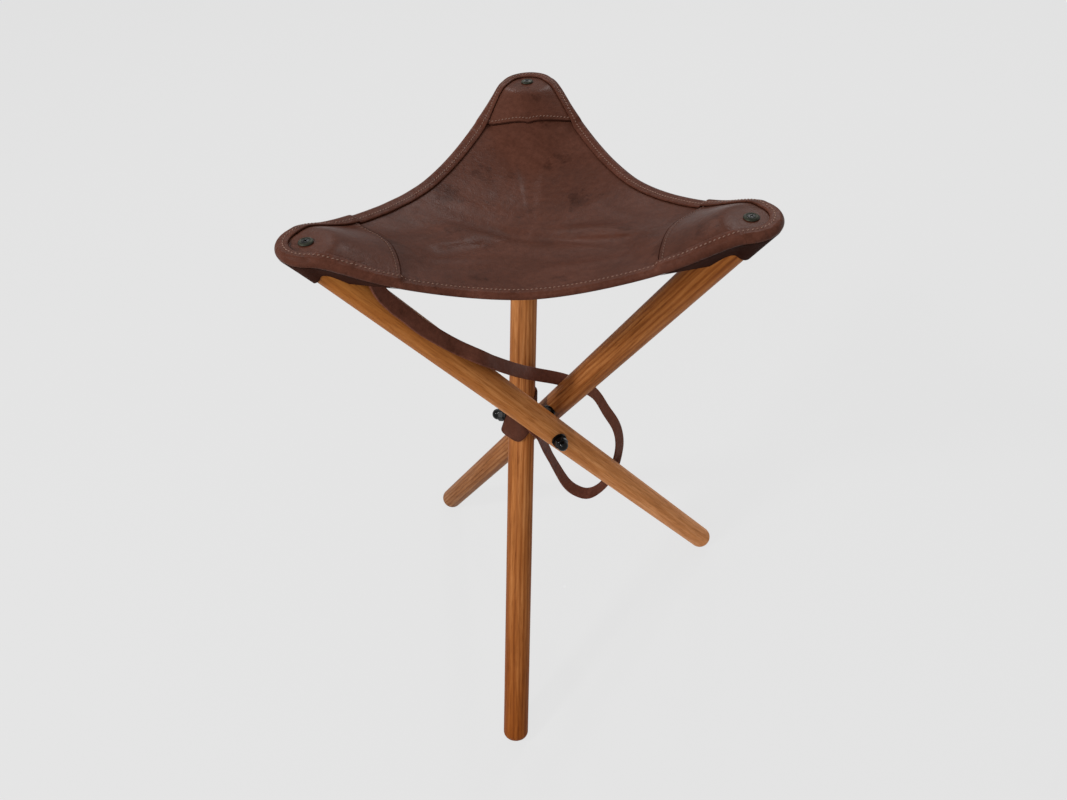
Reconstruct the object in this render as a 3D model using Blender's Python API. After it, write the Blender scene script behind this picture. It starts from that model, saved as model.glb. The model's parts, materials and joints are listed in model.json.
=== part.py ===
"""Three-legged folding hunting stool.

Three round oak legs cross at a three-way pivot bolt and carry a sagging leather seat, which is
bound round its edge, doubled at its corners and screwed to the leg tops. A leather carrying strap
runs from the front left corner to a loop round the rear leg.

Units are metres and +Z is up. Shapes are worked out round the centre of the pivot bolt. The whole
stool is then stood on the floor with its box centred over the origin.
"""

import math

import bmesh
import bpy
from mathutils import Matrix, Vector

# Legs: round dowels that all lean alike, each in its own upright plane beside the pivot's centre
LEG_DIAMETER = 0.028
LEG_LEAN = math.radians(34.3)
LEG_BELOW_PIVOT = 0.379
LEG_TOP_CHAMFER = 0.0015
FOOT_ROUNDING = 0.0085
FOOT_FLAT_DEPTH = 0.0008
PIVOT_OFFSET = 0.0243
TOP_AZIMUTHS = {"a": math.radians(210), "b": math.radians(330), "c": math.radians(90)}

# Pivot hardware
STUD_DIAMETER = 0.008
CORE_HEIGHT = 0.015
CORE_EDGE = 0.001
INNER_WASHER_DIAMETER = 0.015
INNER_WASHER_THICKNESS = 0.0016
OUTER_WASHER_DIAMETER = 0.016
OUTER_WASHER_THICKNESS = 0.002
NUT_ACROSS_FLATS = 0.013
NUT_HEX_HEIGHT = 0.0062
NUT_HEIGHT = 0.0130
NUT_COLLAR_INSET = 0.0006
NUT_END_WALL = 0.003
NUT_CHAMFER = 0.0008

# Seat: a rounded triangle of leather whose edges bow in and sag between the leg tops
CORNER_HEIGHT = 0.280
TIP_RADIUS = 0.0288
TIP_HALF_TURN = math.radians(60)
TIP_BEYOND_SCREW = 0.0234
EDGE_BOW = 0.0074
EDGE_HEIGHTS = {"front": 0.2375, "right": 0.2400, "left": 0.2490}
EDGE_SAG_POWER = 1.79
EDGE_EASE = 0.04
CENTRE_HEIGHT = 0.223
BOWL_POWER = 1.9
TENT_SLOPE = 0.60
TENT_REACH = 0.024
TENT_SOFTNESS = 0.004
TENT_BLEND = 0.003
PANEL_THICKNESS = 0.0024
PATCH_THICKNESS = 0.0018
PATCH_START = 0.60
LEG_TOP_GAP = 0.0008

# Edge binding: a folded strip that wraps the panel's edge
BINDING_THICKNESS = 0.0017
BINDING_WIDTH = 0.0095
BINDING_UNDER_WIDTH = 0.0030
BINDING_ROUND = 0.0012
BINDING_GAP = 0.0008
PATCH_GAP = 0.0014
PATCH_INSET = 0.0006

# Corner pockets: leather scoops under the corners that hold the leg tops
POCKET_THICKNESS = 0.0016
POCKET_DEPTH = 0.027
POCKET_ARM_DEPTH = 0.004
POCKET_INSET = 0.0013
POCKET_LEG_GAP = 0.0005
POCKET_WRAP = math.radians(104)

# Corner screws and their cup washers
SCREW_INSET = 0.0030
SCREW_DIAMETER = 0.0042
SCREW_LENGTH = 0.019
SCREW_POINT = 0.004
SCREW_HEAD_DIAMETER = 0.0066
SCREW_HEAD_RIM = 0.0003
SCREW_HEAD_CROWN = 0.0004
CUP_DIAMETER = 0.0118
CUP_HEIGHT = 0.0015
CUP_RIM = 0.0005
CUP_LIP = 0.0009

# Carrying strap
STRAP_WIDTH = 0.014
STRAP_THICKNESS = 0.0022
STRAP_EDGE = 0.0006
LOOP_RISE = 0.018
LOOP_TILT = 0.012
LOOP_SAG = 0.009
LOOP_SAG_TURN = math.radians(62)
LOOP_SAG_SPREAD = math.radians(32)
# Route of the strap's middle line from under corner a to the loop on leg c, from the pivot's centre
STRAP_ROUTE = [
    (-0.1270, -0.0970, 0.2713), (-0.1190, -0.0985, 0.2610), (-0.1115, -0.1025, 0.2470),
    (-0.1064, -0.1028, 0.2321), (-0.0991, -0.1005, 0.2180), (-0.0923, -0.0966, 0.2064),
    (-0.0840, -0.0922, 0.1919), (-0.0755, -0.0866, 0.1783), (-0.0602, -0.0746, 0.1548),
    (-0.0420, -0.0673, 0.1376), (-0.0330, -0.0500, 0.1160), (-0.0242, -0.0300, 0.0930),
    (-0.0180, -0.0091, 0.0710), (-0.0085, 0.0165, 0.0450),
    (0.0190, 0.0380, 0.0190), (0.0490, 0.0390, 0.0030), (0.0650, 0.0375, -0.0250),
    (0.0760, 0.0380, -0.0490), (0.0800, 0.0390, -0.0750), (0.0780, 0.0400, -0.1030),
    (0.0720, 0.0390, -0.1290), (0.0600, 0.0360, -0.1520), (0.0440, 0.0320, -0.1630),
    (0.0300, 0.0270, -0.1540), (0.0180, 0.0210, -0.1330), (0.0070, 0.0140, -0.0950),
    (-0.0010, 0.0060, -0.0580), (-0.0035, -0.0030, -0.0320), (-0.0042, -0.0115, -0.0150),
    (-0.0092, -0.0168, -0.0010), (-0.0145, -0.0128, 0.0085),
]
# The way that the strap's flat face looks, at even steps along it
STRAP_FACES = [
    (0.36, 0.36, 0.86), (0.86, -0.29, 0.41), (0.83, -0.44, 0.345), (0.85, -0.32, 0.39),
    (0.66, -0.30, 0.60), (0.40, -0.55, 0.68), (0.12, -0.70, 0.70), (0.36, -0.65, 0.60),
    (0.60, -0.60, 0.50), (0.675, -0.575, 0.45), (0.75, -0.55, 0.40), (0.475, -0.575, 0.575),
    (0.20, -0.60, 0.75), (0.35, -0.725, 0.475), (0.50, -0.85, 0.20), (0.52, -0.775, 0.34),
    (0.54, -0.70, 0.48),
]

# Shared clearances
SEAT_GAP = 0.0003
BORE_GAP = 0.0003

# Mesh fineness
ROUND_STEPS = 48
SMALL_STEPS = 30
FILLET_STEPS = 6
SEAT_ROWS = 10
SEAT_COLUMNS = 8
STRAP_STEPS = 72
ROUTE_FINENESS = 16
LOOP_STEPS = 40
SLOPE_STEP = 0.0005
TINY = 1e-6
SHARP_ANGLE = math.radians(35)

LEG_RADIUS = LEG_DIAMETER / 2
LEAN_SIN = math.sin(LEG_LEAN)
LEAN_COS = math.cos(LEG_LEAN)
LEG_TOP = CORNER_HEIGHT - PANEL_THICKNESS / 2 - LEG_TOP_GAP
TOP_OUT = LEG_TOP * math.tan(LEG_LEAN)
SCREW_OUT = TOP_OUT - SCREW_INSET
FOOT_ARC_DROP = (LEG_BELOW_PIVOT - FOOT_ROUNDING) * LEAN_COS + (LEG_RADIUS - FOOT_ROUNDING) * LEAN_SIN
PIVOT_HEIGHT = FOOT_ARC_DROP + FOOT_ROUNDING - FOOT_FLAT_DEPTH
CORE_RADIUS = PIVOT_OFFSET - LEG_RADIUS - INNER_WASHER_THICKNESS - 2 * SEAT_GAP
CORNER_TURN = math.atan2(PIVOT_OFFSET, SCREW_OUT)
TIP_CENTRE = math.hypot(SCREW_OUT, PIVOT_OFFSET) + TIP_BEYOND_SCREW - TIP_RADIUS
CORNERS = [TOP_AZIMUTHS[leg] + CORNER_TURN for leg in TOP_AZIMUTHS]
EDGE_MIDDLES = [EDGE_HEIGHTS["front"], EDGE_HEIGHTS["right"], EDGE_HEIGHTS["left"]]
EDGE_NORMAL = math.radians(60)
EDGE_HALF = TIP_CENTRE * math.sin(EDGE_NORMAL)
PANEL_INSET = BINDING_THICKNESS + BINDING_GAP
PATCH_LIFT = PATCH_THICKNESS + SEAT_GAP
POCKET_DROP = PANEL_THICKNESS / 2 + 2 * BINDING_GAP + BINDING_THICKNESS


def clear_scene():
    for thing in list(bpy.data.objects):
        bpy.data.objects.remove(thing, do_unlink=True)


def finish(name, colour, roughness, metallic=0.0):
    material = bpy.data.materials.new(name)
    material.use_nodes = True
    shader = material.node_tree.nodes["Principled BSDF"]
    shader.inputs["Base Color"].default_value = (*colour, 1.0)
    shader.inputs["Roughness"].default_value = roughness
    shader.inputs["Metallic"].default_value = metallic
    return material


def empty(name, parent=None, location=(0, 0, 0), turn=0.0):
    holder = bpy.data.objects.new(name, None)
    bpy.context.scene.collection.objects.link(holder)
    holder.parent = parent
    holder.location = location
    holder.rotation_euler = (0, 0, turn)
    return holder


def piece(name, shape, material, parent):
    """An object from a bmesh, with its faces turned out and its round faces smooth."""
    bmesh.ops.recalc_face_normals(shape, faces=shape.faces)
    mesh = bpy.data.meshes.new(name)
    shape.to_mesh(mesh)
    shape.free()
    mesh.shade_smooth()
    mesh.set_sharp_from_angle(angle=SHARP_ANGLE)
    mesh.materials.append(material)
    thing = bpy.data.objects.new(name, mesh)
    bpy.context.scene.collection.objects.link(thing)
    thing.parent = parent
    return thing


def loft(rings, closed=False):
    """A solid skin over equal rings of points, joined end to end or capped at both ends."""
    shape = bmesh.new()
    rows = [[shape.verts.new(point) for point in ring] for ring in rings]
    pairs = list(zip(rows, rows[1:]))
    if closed:
        pairs.append((rows[-1], rows[0]))
    for near, far in pairs:
        for i in range(len(near)):
            j = (i + 1) % len(near)
            shape.faces.new((near[i], near[j], far[j], far[i]))
    if not closed:
        shape.faces.new(rows[0])
        shape.faces.new(rows[-1])
    return shape


def circle(radius, height, steps):
    turns = [2 * math.pi * i / steps for i in range(steps)]
    return [Vector((radius * math.cos(t), radius * math.sin(t), height)) for t in turns]


def turned(profile, steps, closed=False):
    """A solid turned round Z from (radius, height) points."""
    return loft([circle(radius, height, steps) for radius, height in profile], closed)


def combine(target, tool, operation):
    """Applies a Boolean at once and removes its tool."""
    bpy.context.view_layer.update()
    change = target.modifiers.new(operation, "BOOLEAN")
    change.operation = operation
    change.solver = "EXACT"
    change.object = tool
    graph = bpy.context.evaluated_depsgraph_get()
    mesh = bpy.data.meshes.new_from_object(target.evaluated_get(graph))
    target.modifiers.remove(change)
    target.data = mesh
    bpy.data.objects.remove(tool, do_unlink=True)


def rod(radius, start, end, parent, material, steps=SMALL_STEPS):
    """A plain cylinder between two points, for joining on or cutting away."""
    way = Vector(end) - Vector(start)
    shape = turned([(radius, 0), (radius, way.length)], steps)
    shape.transform(Matrix.Translation(start) @ way.to_track_quat("Z", "Y").to_matrix().to_4x4())
    return piece("tool", shape, material, parent)


def corner_axes(corner):
    """Plan directions out along a corner's middle line and across it."""
    out = Vector((math.cos(CORNERS[corner]), math.sin(CORNERS[corner])))
    return out, Vector((-out.y, out.x))


def edge_point(side, along, inset):
    """Plan point on one of a corner's two edges, from mid-edge (0) to where its tip begins (1)."""
    normal = Vector((math.cos(EDGE_NORMAL), side * math.sin(EDGE_NORMAL)))
    towards_tip = Vector((math.sin(EDGE_NORMAL), -side * math.cos(EDGE_NORMAL)))
    distance = TIP_CENTRE * math.cos(EDGE_NORMAL) + TIP_RADIUS - inset
    distance -= EDGE_BOW * (1 - along**2) ** 2
    return distance * normal + along * EDGE_HALF * towards_tip


def tip_point(across, inset):
    """Plan point on a corner's rounded tip, with across from -1 to 1."""
    turn = across * TIP_HALF_TURN
    radius = TIP_RADIUS - inset
    return Vector((TIP_CENTRE + radius * math.cos(turn), radius * math.sin(turn)))


def to_plan(corner, local):
    out, across = corner_axes(corner)
    return out * local.x + across * local.y


def lattice_point(corner, along, across, inset):
    """Plan point of the seat's lattice: columns run from the mid lines (0) to the tip (1)."""
    side = 1 if across >= 0 else -1
    spread = abs(across)
    start = edge_point(side, 0, inset) * spread
    straight = start.lerp(tip_point(across, inset), along)
    ruled = edge_point(side, 0, inset).lerp(edge_point(side, 1, inset), along)
    return to_plan(corner, straight + spread**3 * (edge_point(side, along, inset) - ruled))


def edge_of(corner, side):
    return corner if side > 0 else (corner - 1) % 3


def rim_height(corner, local):
    """Height of the seat's rim, and its distance from the middle, in the way of a plan point."""
    side = 1 if local.y >= 0 else -1
    turn = abs(math.atan2(local.y, local.x))
    tangent = tip_point(1, 0)
    if turn <= math.atan2(tangent.y, tangent.x):
        reach = TIP_CENTRE * math.cos(turn)
        reach += math.sqrt(TIP_RADIUS**2 - (TIP_CENTRE * math.sin(turn)) ** 2)
        return CORNER_HEIGHT, reach
    lean = EDGE_NORMAL - turn
    distance = TIP_CENTRE * math.cos(EDGE_NORMAL) + TIP_RADIUS
    along = min(1.0, abs(distance * math.tan(lean) / EDGE_HALF))
    middle = EDGE_MIDDLES[edge_of(corner, side)]
    drop = math.hypot(1 - along**EDGE_SAG_POWER, EDGE_EASE) - EDGE_EASE
    drop *= (CORNER_HEIGHT - middle) / (math.hypot(1, EDGE_EASE) - EDGE_EASE)
    return CORNER_HEIGHT - drop, (distance - EDGE_BOW * (1 - along**2) ** 2) / math.cos(lean)


def leg_top_plan(corner):
    """Plan point where a leg's axis meets its level top."""
    azimuth = list(TOP_AZIMUTHS.values())[corner]
    out = Vector((math.cos(azimuth), math.sin(azimuth)))
    return out * TOP_OUT + Vector((-out.y, out.x)) * PIVOT_OFFSET


def seat_height(plan):
    """Height of the leather's middle: a sagging bowl, tented over the nearest leg top."""
    corner = max(range(3), key=lambda i: plan.dot(corner_axes(i)[0]))
    out, across = corner_axes(corner)
    local = Vector((plan.dot(out), plan.dot(across)))
    rim, reach = rim_height(corner, local)
    bowl = CENTRE_HEIGHT + (rim - CENTRE_HEIGHT) * (plan.length / reach) ** BOWL_POWER
    past = (plan - leg_top_plan(corner)).length - TENT_REACH
    tent = CORNER_HEIGHT - TENT_SLOPE * (past + math.hypot(past, TENT_SOFTNESS)) / 2
    return (bowl + tent + math.hypot(bowl - tent, TENT_BLEND)) / 2


def seat_normal(plan):
    along_x, along_y = Vector((SLOPE_STEP, 0)), Vector((0, SLOPE_STEP))
    rise_x = seat_height(plan + along_x) - seat_height(plan - along_x)
    rise_y = seat_height(plan + along_y) - seat_height(plan - along_y)
    return Vector((-rise_x, -rise_y, 2 * SLOPE_STEP)).normalized()


def on_seat(plan, lift):
    """Point over the leather's middle surface, lift away from it along its normal."""
    return Vector((plan.x, plan.y, seat_height(plan))) + seat_normal(plan) * lift


def sheet(plans, lower, upper):
    """A leather solid between two lifts, from rectangular grids of plan points."""
    shape = bmesh.new()
    for grid in plans:
        rows = [[shape.verts.new((p.x, p.y, 0)) for p in row] for row in grid]
        for near, far in zip(rows, rows[1:]):
            for i in range(len(near) - 1):
                shape.faces.new((near[i], near[i + 1], far[i + 1], far[i]))
    bmesh.ops.remove_doubles(shape, verts=shape.verts, dist=TINY)
    faces = list(shape.faces)
    rim = [edge for edge in shape.edges if edge.is_boundary]
    tops = {vert: shape.verts.new(on_seat(vert.co.xy, upper)) for vert in list(shape.verts)}
    for face in faces:
        shape.faces.new([tops[vert] for vert in face.verts])
    for edge in rim:
        first, second = edge.verts
        shape.faces.new((first, second, tops[second], tops[first]))
    for vert in tops:
        vert.co = on_seat(vert.co.xy, lower)
    return shape


def corner_grid(corner, first_row, inset):
    rows = [i / SEAT_ROWS for i in range(SEAT_ROWS + 1)]
    columns = [i / SEAT_COLUMNS for i in range(-SEAT_COLUMNS, SEAT_COLUMNS + 1)]
    kept = [row for row in rows if row >= first_row - TINY]
    return [[lattice_point(corner, v, w, inset) for w in columns] for v in kept]


def rim_stations(first):
    """Stations round a corner: up its right edge, round its tip and down its left edge."""
    steps = [i / SEAT_ROWS for i in range(SEAT_ROWS + 1)]
    edge = [step for step in steps if step >= first - TINY]
    arc = [i / SEAT_COLUMNS for i in range(-SEAT_COLUMNS + 1, SEAT_COLUMNS)]
    stations = [("edge", -1, step) for step in edge]
    stations += [("tip", 0, across) for across in arc]
    stations += [("edge", 1, step) for step in reversed(edge)]
    return stations


def rim_plan(corner, station, inset):
    kind, side, value = station
    local = edge_point(side, value, inset) if kind == "edge" else tip_point(value, inset)
    return to_plan(corner, local)


def binding_section(corner, station):
    """Closed U section of the binding, raised where a corner patch runs in under it."""
    kind, _, value = station
    over_patch = kind == "tip" or value >= PATCH_START - TINY
    slot_top = PANEL_THICKNESS / 2 + (PATCH_LIFT + PATCH_GAP if over_patch else BINDING_GAP)
    slot_bottom = -PANEL_THICKNESS / 2 - BINDING_GAP
    top = slot_top + BINDING_THICKNESS
    bottom = slot_bottom - BINDING_THICKNESS
    half = BINDING_WIDTH / 2
    section = [
        (BINDING_WIDTH, slot_top), (BINDING_WIDTH, top), (half, top), (BINDING_ROUND, top),
        (0, top - BINDING_ROUND), (0, bottom + BINDING_ROUND), (BINDING_ROUND, bottom),
        (BINDING_UNDER_WIDTH, bottom), (BINDING_UNDER_WIDTH, slot_bottom),
        (BINDING_THICKNESS, slot_bottom), (BINDING_THICKNESS, slot_top), (half, slot_top),
    ]
    return [on_seat(rim_plan(corner, station, inset), rise) for inset, rise in section]


def make_binding(material, parent):
    rings = []
    for corner in range(3):
        stations = rim_stations(0)
        rings += [binding_section(corner, station) for station in stations[:-1]]
    return piece("edge_binding", loft(rings, closed=True), material, parent)


def leg_local(corner, point):
    """A point of the whole stool in the frame of one leg: out, along its stud and up."""
    azimuth = list(TOP_AZIMUTHS.values())[corner]
    return Matrix.Rotation(-azimuth, 3, "Z") @ point


def pocket_top(corner, station, inset):
    """Where the pocket's wall meets the underside of the seat, and its angle round the leg."""
    top = leg_local(corner, on_seat(rim_plan(corner, station, inset), -POCKET_DROP))
    out = (top.x - top.z * math.tan(LEG_LEAN)) * LEAN_COS
    return top, math.atan2(top.y - PIVOT_OFFSET, out)


def pocket_section(corner, station, widest):
    """Closed section of the pocket's wall, from under the binding down to its mouth."""
    outer, inner = [], []
    for wall, points in ((0.0, inner), (POCKET_THICKNESS, outer)):
        top, angle = pocket_top(corner, station, POCKET_INSET + POCKET_THICKNESS - wall)
        share = 1 - (angle / widest) ** 2
        mouth = top.z - POCKET_ARM_DEPTH - (POCKET_DEPTH - POCKET_ARM_DEPTH) * share
        radius = LEG_RADIUS + POCKET_LEG_GAP + wall
        turn = angle * min(1.0, POCKET_WRAP / widest)
        low = Vector((
            mouth * math.tan(LEG_LEAN) + radius * math.cos(turn) / LEAN_COS,
            PIVOT_OFFSET + radius * math.sin(turn),
            mouth,
        ))
        points += [top, top.lerp(low, 0.5), low]
    return outer + inner[::-1]


def make_pocket(leg, corner, material, parent):
    stations = rim_stations(PATCH_START)
    widest = max(abs(pocket_top(corner, station, POCKET_INSET)[1]) for station in stations)
    rings = [pocket_section(corner, station, widest) for station in stations]
    return piece(f"corner_pocket_{leg}", loft(rings), material, parent)


def make_leg(leg, material, parent):
    """A dowel with a rounded foot cut level on the floor and a level top under the leather."""
    turn = Matrix.Rotation(LEG_LEAN, 3, "Y")
    start = Vector((0, PIVOT_OFFSET, 0))
    rings = []
    for i in range(FILLET_STEPS + 1):
        angle = math.pi / 2 * i / FILLET_STEPS
        radius = LEG_RADIUS - FOOT_ROUNDING * (1 - math.sin(angle))
        height = -LEG_BELOW_PIVOT + FOOT_ROUNDING * (1 - math.cos(angle))
        rings.append([start + turn @ point for point in circle(radius, height, ROUND_STEPS)])
    for inset, drop in ((0, LEG_TOP_CHAMFER), (LEG_TOP_CHAMFER, 0)):
        ring = []
        for point in circle(LEG_RADIUS - inset, 0, ROUND_STEPS):
            rise = (LEG_TOP - drop + point.x * LEAN_SIN) / LEAN_COS
            ring.append(start + turn @ Vector((point.x, point.y, rise)))
        rings.append(ring)
    shape = loft(rings)
    floor = bmesh.ops.bisect_plane(
        shape,
        geom=shape.verts[:] + shape.edges[:] + shape.faces[:],
        plane_co=(0, 0, -PIVOT_HEIGHT),
        plane_no=(0, 0, 1),
        clear_inner=True,
    )
    cut_edges = [item for item in floor["geom_cut"] if isinstance(item, bmesh.types.BMEdge)]
    bmesh.ops.contextual_create(shape, geom=cut_edges)
    dowel = piece(f"leg_{leg}", shape, material, parent)
    bore = STUD_DIAMETER / 2 + BORE_GAP
    half = LEG_DIAMETER
    stud_hole = rod(bore, (0, PIVOT_OFFSET - half, 0), (0, PIVOT_OFFSET + half, 0), parent, material)
    combine(dowel, stud_hole, "DIFFERENCE")
    pilot = SCREW_DIAMETER / 2 + BORE_GAP
    depth = LEG_TOP - SCREW_LENGTH
    above = LEG_TOP + LEG_RADIUS
    place = (SCREW_OUT, PIVOT_OFFSET)
    combine(dowel, rod(pilot, (*place, depth), (*place, above), parent, material), "DIFFERENCE")
    return dowel


def washer(name, diameter, thickness, out, material, parent):
    """A flat washer on a stud, with its inner face out from the pivot's centre."""
    bore = STUD_DIAMETER / 2 + BORE_GAP
    profile = [(bore, 0), (diameter / 2, 0), (diameter / 2, thickness), (bore, thickness)]
    shape = turned(profile, SMALL_STEPS, closed=True)
    shape.transform(Matrix.Translation((0, out, 0)) @ Matrix.Rotation(-math.pi / 2, 4, "X"))
    return piece(name, shape, material, parent)


def hex_ring(limit, height):
    """A hexagon's outline at one height, cut back to a round of the given radius."""
    points = []
    for point in circle(1, height, SMALL_STEPS):
        turn = math.atan2(point.y, point.x) % (math.pi / 3) - math.pi / 6
        reach = min(NUT_ACROSS_FLATS / 2 / math.cos(turn), limit)
        points.append(Vector((reach * point.x, reach * point.y, height)))
    return points


def make_nut(leg, out, material, parent):
    """A domed cap nut: a chamfered hexagon, a round collar and a dome over a blind bore."""
    flat = NUT_ACROSS_FLATS / 2
    corner = flat / math.cos(math.pi / 6)
    bore = STUD_DIAMETER / 2 + BORE_GAP
    depth = NUT_HEIGHT - NUT_END_WALL
    dome = flat - NUT_COLLAR_INSET
    rings = [circle(bore, depth, SMALL_STEPS), circle(bore, 0, SMALL_STEPS)]
    rings += [hex_ring(flat, 0), hex_ring(corner, NUT_CHAMFER)]
    rings += [hex_ring(corner, NUT_HEX_HEIGHT - NUT_CHAMFER), hex_ring(flat, NUT_HEX_HEIGHT)]
    base = NUT_HEIGHT - dome
    for i in range(FILLET_STEPS):
        angle = math.pi / 2 * i / FILLET_STEPS
        rings.append(circle(dome * math.cos(angle), base + dome * math.sin(angle), SMALL_STEPS))
    rings.insert(6, circle(dome, NUT_HEX_HEIGHT + NUT_CHAMFER / 2, SMALL_STEPS))
    shape = loft(rings)
    shape.transform(Matrix.Translation((0, out, 0)) @ Matrix.Rotation(-math.pi / 2, 4, "X"))
    return piece(f"cap_nut_{leg}", shape, material, parent)


def nut_seat(leg):
    """Distance from the pivot's centre to an outer washer's inner face."""
    seat = PIVOT_OFFSET + LEG_RADIUS + SEAT_GAP
    return seat + STRAP_THICKNESS + SEAT_GAP if leg == "c" else seat


def make_bolt(material, hub, frames):
    """The three-way bolt: a six-sided core with three round studs, one through each leg."""
    half = CORE_HEIGHT / 2
    reach = CORE_RADIUS / math.cos(math.pi / 6)
    levels = [(reach - CORE_EDGE, -half), (reach, CORE_EDGE - half)]
    levels += [(reach, half - CORE_EDGE), (reach - CORE_EDGE, half)]
    core = turned(levels, 6)
    core.transform(Matrix.Rotation(math.pi / 6, 4, "Z"))
    bolt = piece("three_way_bolt", core, material, hub)
    for leg, frame in frames.items():
        nut = nut_seat(leg) + OUTER_WASHER_THICKNESS + SEAT_GAP
        end = nut + NUT_HEIGHT - NUT_END_WALL - SEAT_GAP
        stud = rod(STUD_DIAMETER / 2, (0, 0, 0), (0, end, 0), frame, material, SMALL_STEPS)
        combine(bolt, stud, "UNION")
    return bolt


def top_of_patch():
    return CORNER_HEIGHT + PANEL_THICKNESS / 2 + PATCH_LIFT + SEAT_GAP


def make_cup(leg, material, parent):
    """A cup washer: a flat rim round a cone that the screw's head sits in."""
    bore = SCREW_DIAMETER / 2 + BORE_GAP
    outer = CUP_DIAMETER / 2
    mouth = SCREW_HEAD_DIAMETER / 2 + BORE_GAP
    profile = [(bore, 0), (outer, 0), (outer, CUP_RIM), (mouth + CUP_LIP, CUP_HEIGHT)]
    profile += [(mouth, CUP_HEIGHT), (bore, CUP_RIM)]
    shape = turned(profile, SMALL_STEPS, closed=True)
    shape.transform(Matrix.Translation((SCREW_OUT, PIVOT_OFFSET, top_of_patch() + SEAT_GAP)))
    return piece(f"cup_washer_{leg}", shape, material, parent)


def make_screw(leg, material, parent):
    """A wood screw with a raised countersunk head, driven through the leather into the leg."""
    shank = SCREW_DIAMETER / 2
    head = SCREW_HEAD_DIAMETER / 2
    seat = top_of_patch() + 2 * SEAT_GAP
    end = LEG_TOP - SCREW_LENGTH + SEAT_GAP
    profile = [(SEAT_GAP, end), (shank, end + SCREW_POINT), (shank, seat + CUP_RIM)]
    profile += [(head, seat + CUP_HEIGHT), (head, seat + CUP_HEIGHT + SCREW_HEAD_RIM)]
    profile += [(head / 2, seat + CUP_HEIGHT + SCREW_HEAD_RIM + SCREW_HEAD_CROWN)]
    shape = turned(profile, SMALL_STEPS)
    shape.transform(Matrix.Translation((SCREW_OUT, PIVOT_OFFSET, 0)))
    return piece(f"corner_screw_{leg}", shape, material, parent)


def screw_hole(corner, parent, material):
    azimuth = list(TOP_AZIMUTHS.values())[corner]
    place = Matrix.Rotation(azimuth, 3, "Z") @ Vector((SCREW_OUT, PIVOT_OFFSET, 0))
    low = (place.x, place.y, LEG_TOP)
    high = (place.x, place.y, CORNER_HEIGHT + LEG_RADIUS)
    return rod(SCREW_DIAMETER / 2 + BORE_GAP, low, high, parent, material)


def make_seat(material, hub):
    grids = [corner_grid(corner, 0, PANEL_INSET) for corner in range(3)]
    half = PANEL_THICKNESS / 2
    panel = piece("seat_panel", sheet(grids, -half, half), material, hub)
    for corner in range(3):
        combine(panel, screw_hole(corner, hub, material), "DIFFERENCE")
    return panel


def make_patch(leg, corner, material, hub):
    lower = PANEL_THICKNESS / 2 + SEAT_GAP
    grid = corner_grid(corner, PATCH_START, PANEL_INSET + PATCH_INSET)
    shape = sheet([grid], lower, lower + PATCH_THICKNESS)
    patch = piece(f"corner_patch_{leg}", shape, material, hub)
    combine(patch, screw_hole(corner, hub, material), "DIFFERENCE")
    return patch


def strap_outline(width, thickness):
    """Flat strap section with eased edges, as (across, through) points."""
    side, face, edge = width / 2, thickness / 2, STRAP_EDGE
    corners = [(side, face - edge), (side - edge, face)]
    mirrored = [(-x, y) for x, y in reversed(corners)]
    return corners + mirrored + [(-x, -y) for x, y in corners] + [(-x, -y) for x, y in mirrored]


def smooth_route(points, steps):
    """Points read evenly from a smooth curve through the given ones."""
    ends = [2 * points[0] - points[1]] + points + [2 * points[-1] - points[-2]]
    dense = []
    for a, b, c, d in zip(ends, ends[1:], ends[2:], ends[3:]):
        for i in range(ROUTE_FINENESS):
            t = i / ROUTE_FINENESS
            bend = 2 * b + (c - a) * t + (2 * a - 5 * b + 4 * c - d) * t**2
            dense.append((bend + (3 * b - a - 3 * c + d) * t**3) / 2)
    dense.append(points[-1])
    lengths = [0.0]
    for near, far in zip(dense, dense[1:]):
        lengths.append(lengths[-1] + (far - near).length)
    route, spot = [], 0
    for i in range(steps + 1):
        goal = lengths[-1] * i / steps
        while spot < len(dense) - 2 and lengths[spot + 1] < goal:
            spot += 1
        share = (goal - lengths[spot]) / (lengths[spot + 1] - lengths[spot])
        route.append(dense[spot].lerp(dense[spot + 1], min(1.0, share)))
    return route


def strap_face(share):
    """The way that the strap's face looks at a share of its length."""
    spot = min(int(share * (len(STRAP_FACES) - 1)), len(STRAP_FACES) - 2)
    near, far = Vector(STRAP_FACES[spot]), Vector(STRAP_FACES[spot + 1])
    return near.lerp(far, share * (len(STRAP_FACES) - 1) - spot)


def make_strap(material, hub):
    route = smooth_route([Vector(point) for point in STRAP_ROUTE], STRAP_STEPS)
    rings = []
    for i, point in enumerate(route):
        ahead = route[min(i + 1, STRAP_STEPS)] - route[max(i - 1, 0)]
        across = strap_face(i / STRAP_STEPS).cross(ahead).normalized()
        through = ahead.cross(across).normalized()
        outline = strap_outline(STRAP_WIDTH, STRAP_THICKNESS)
        rings.append([point + across * x + through * y for x, y in outline])
    return piece("carry_strap", loft(rings), material, hub)


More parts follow.
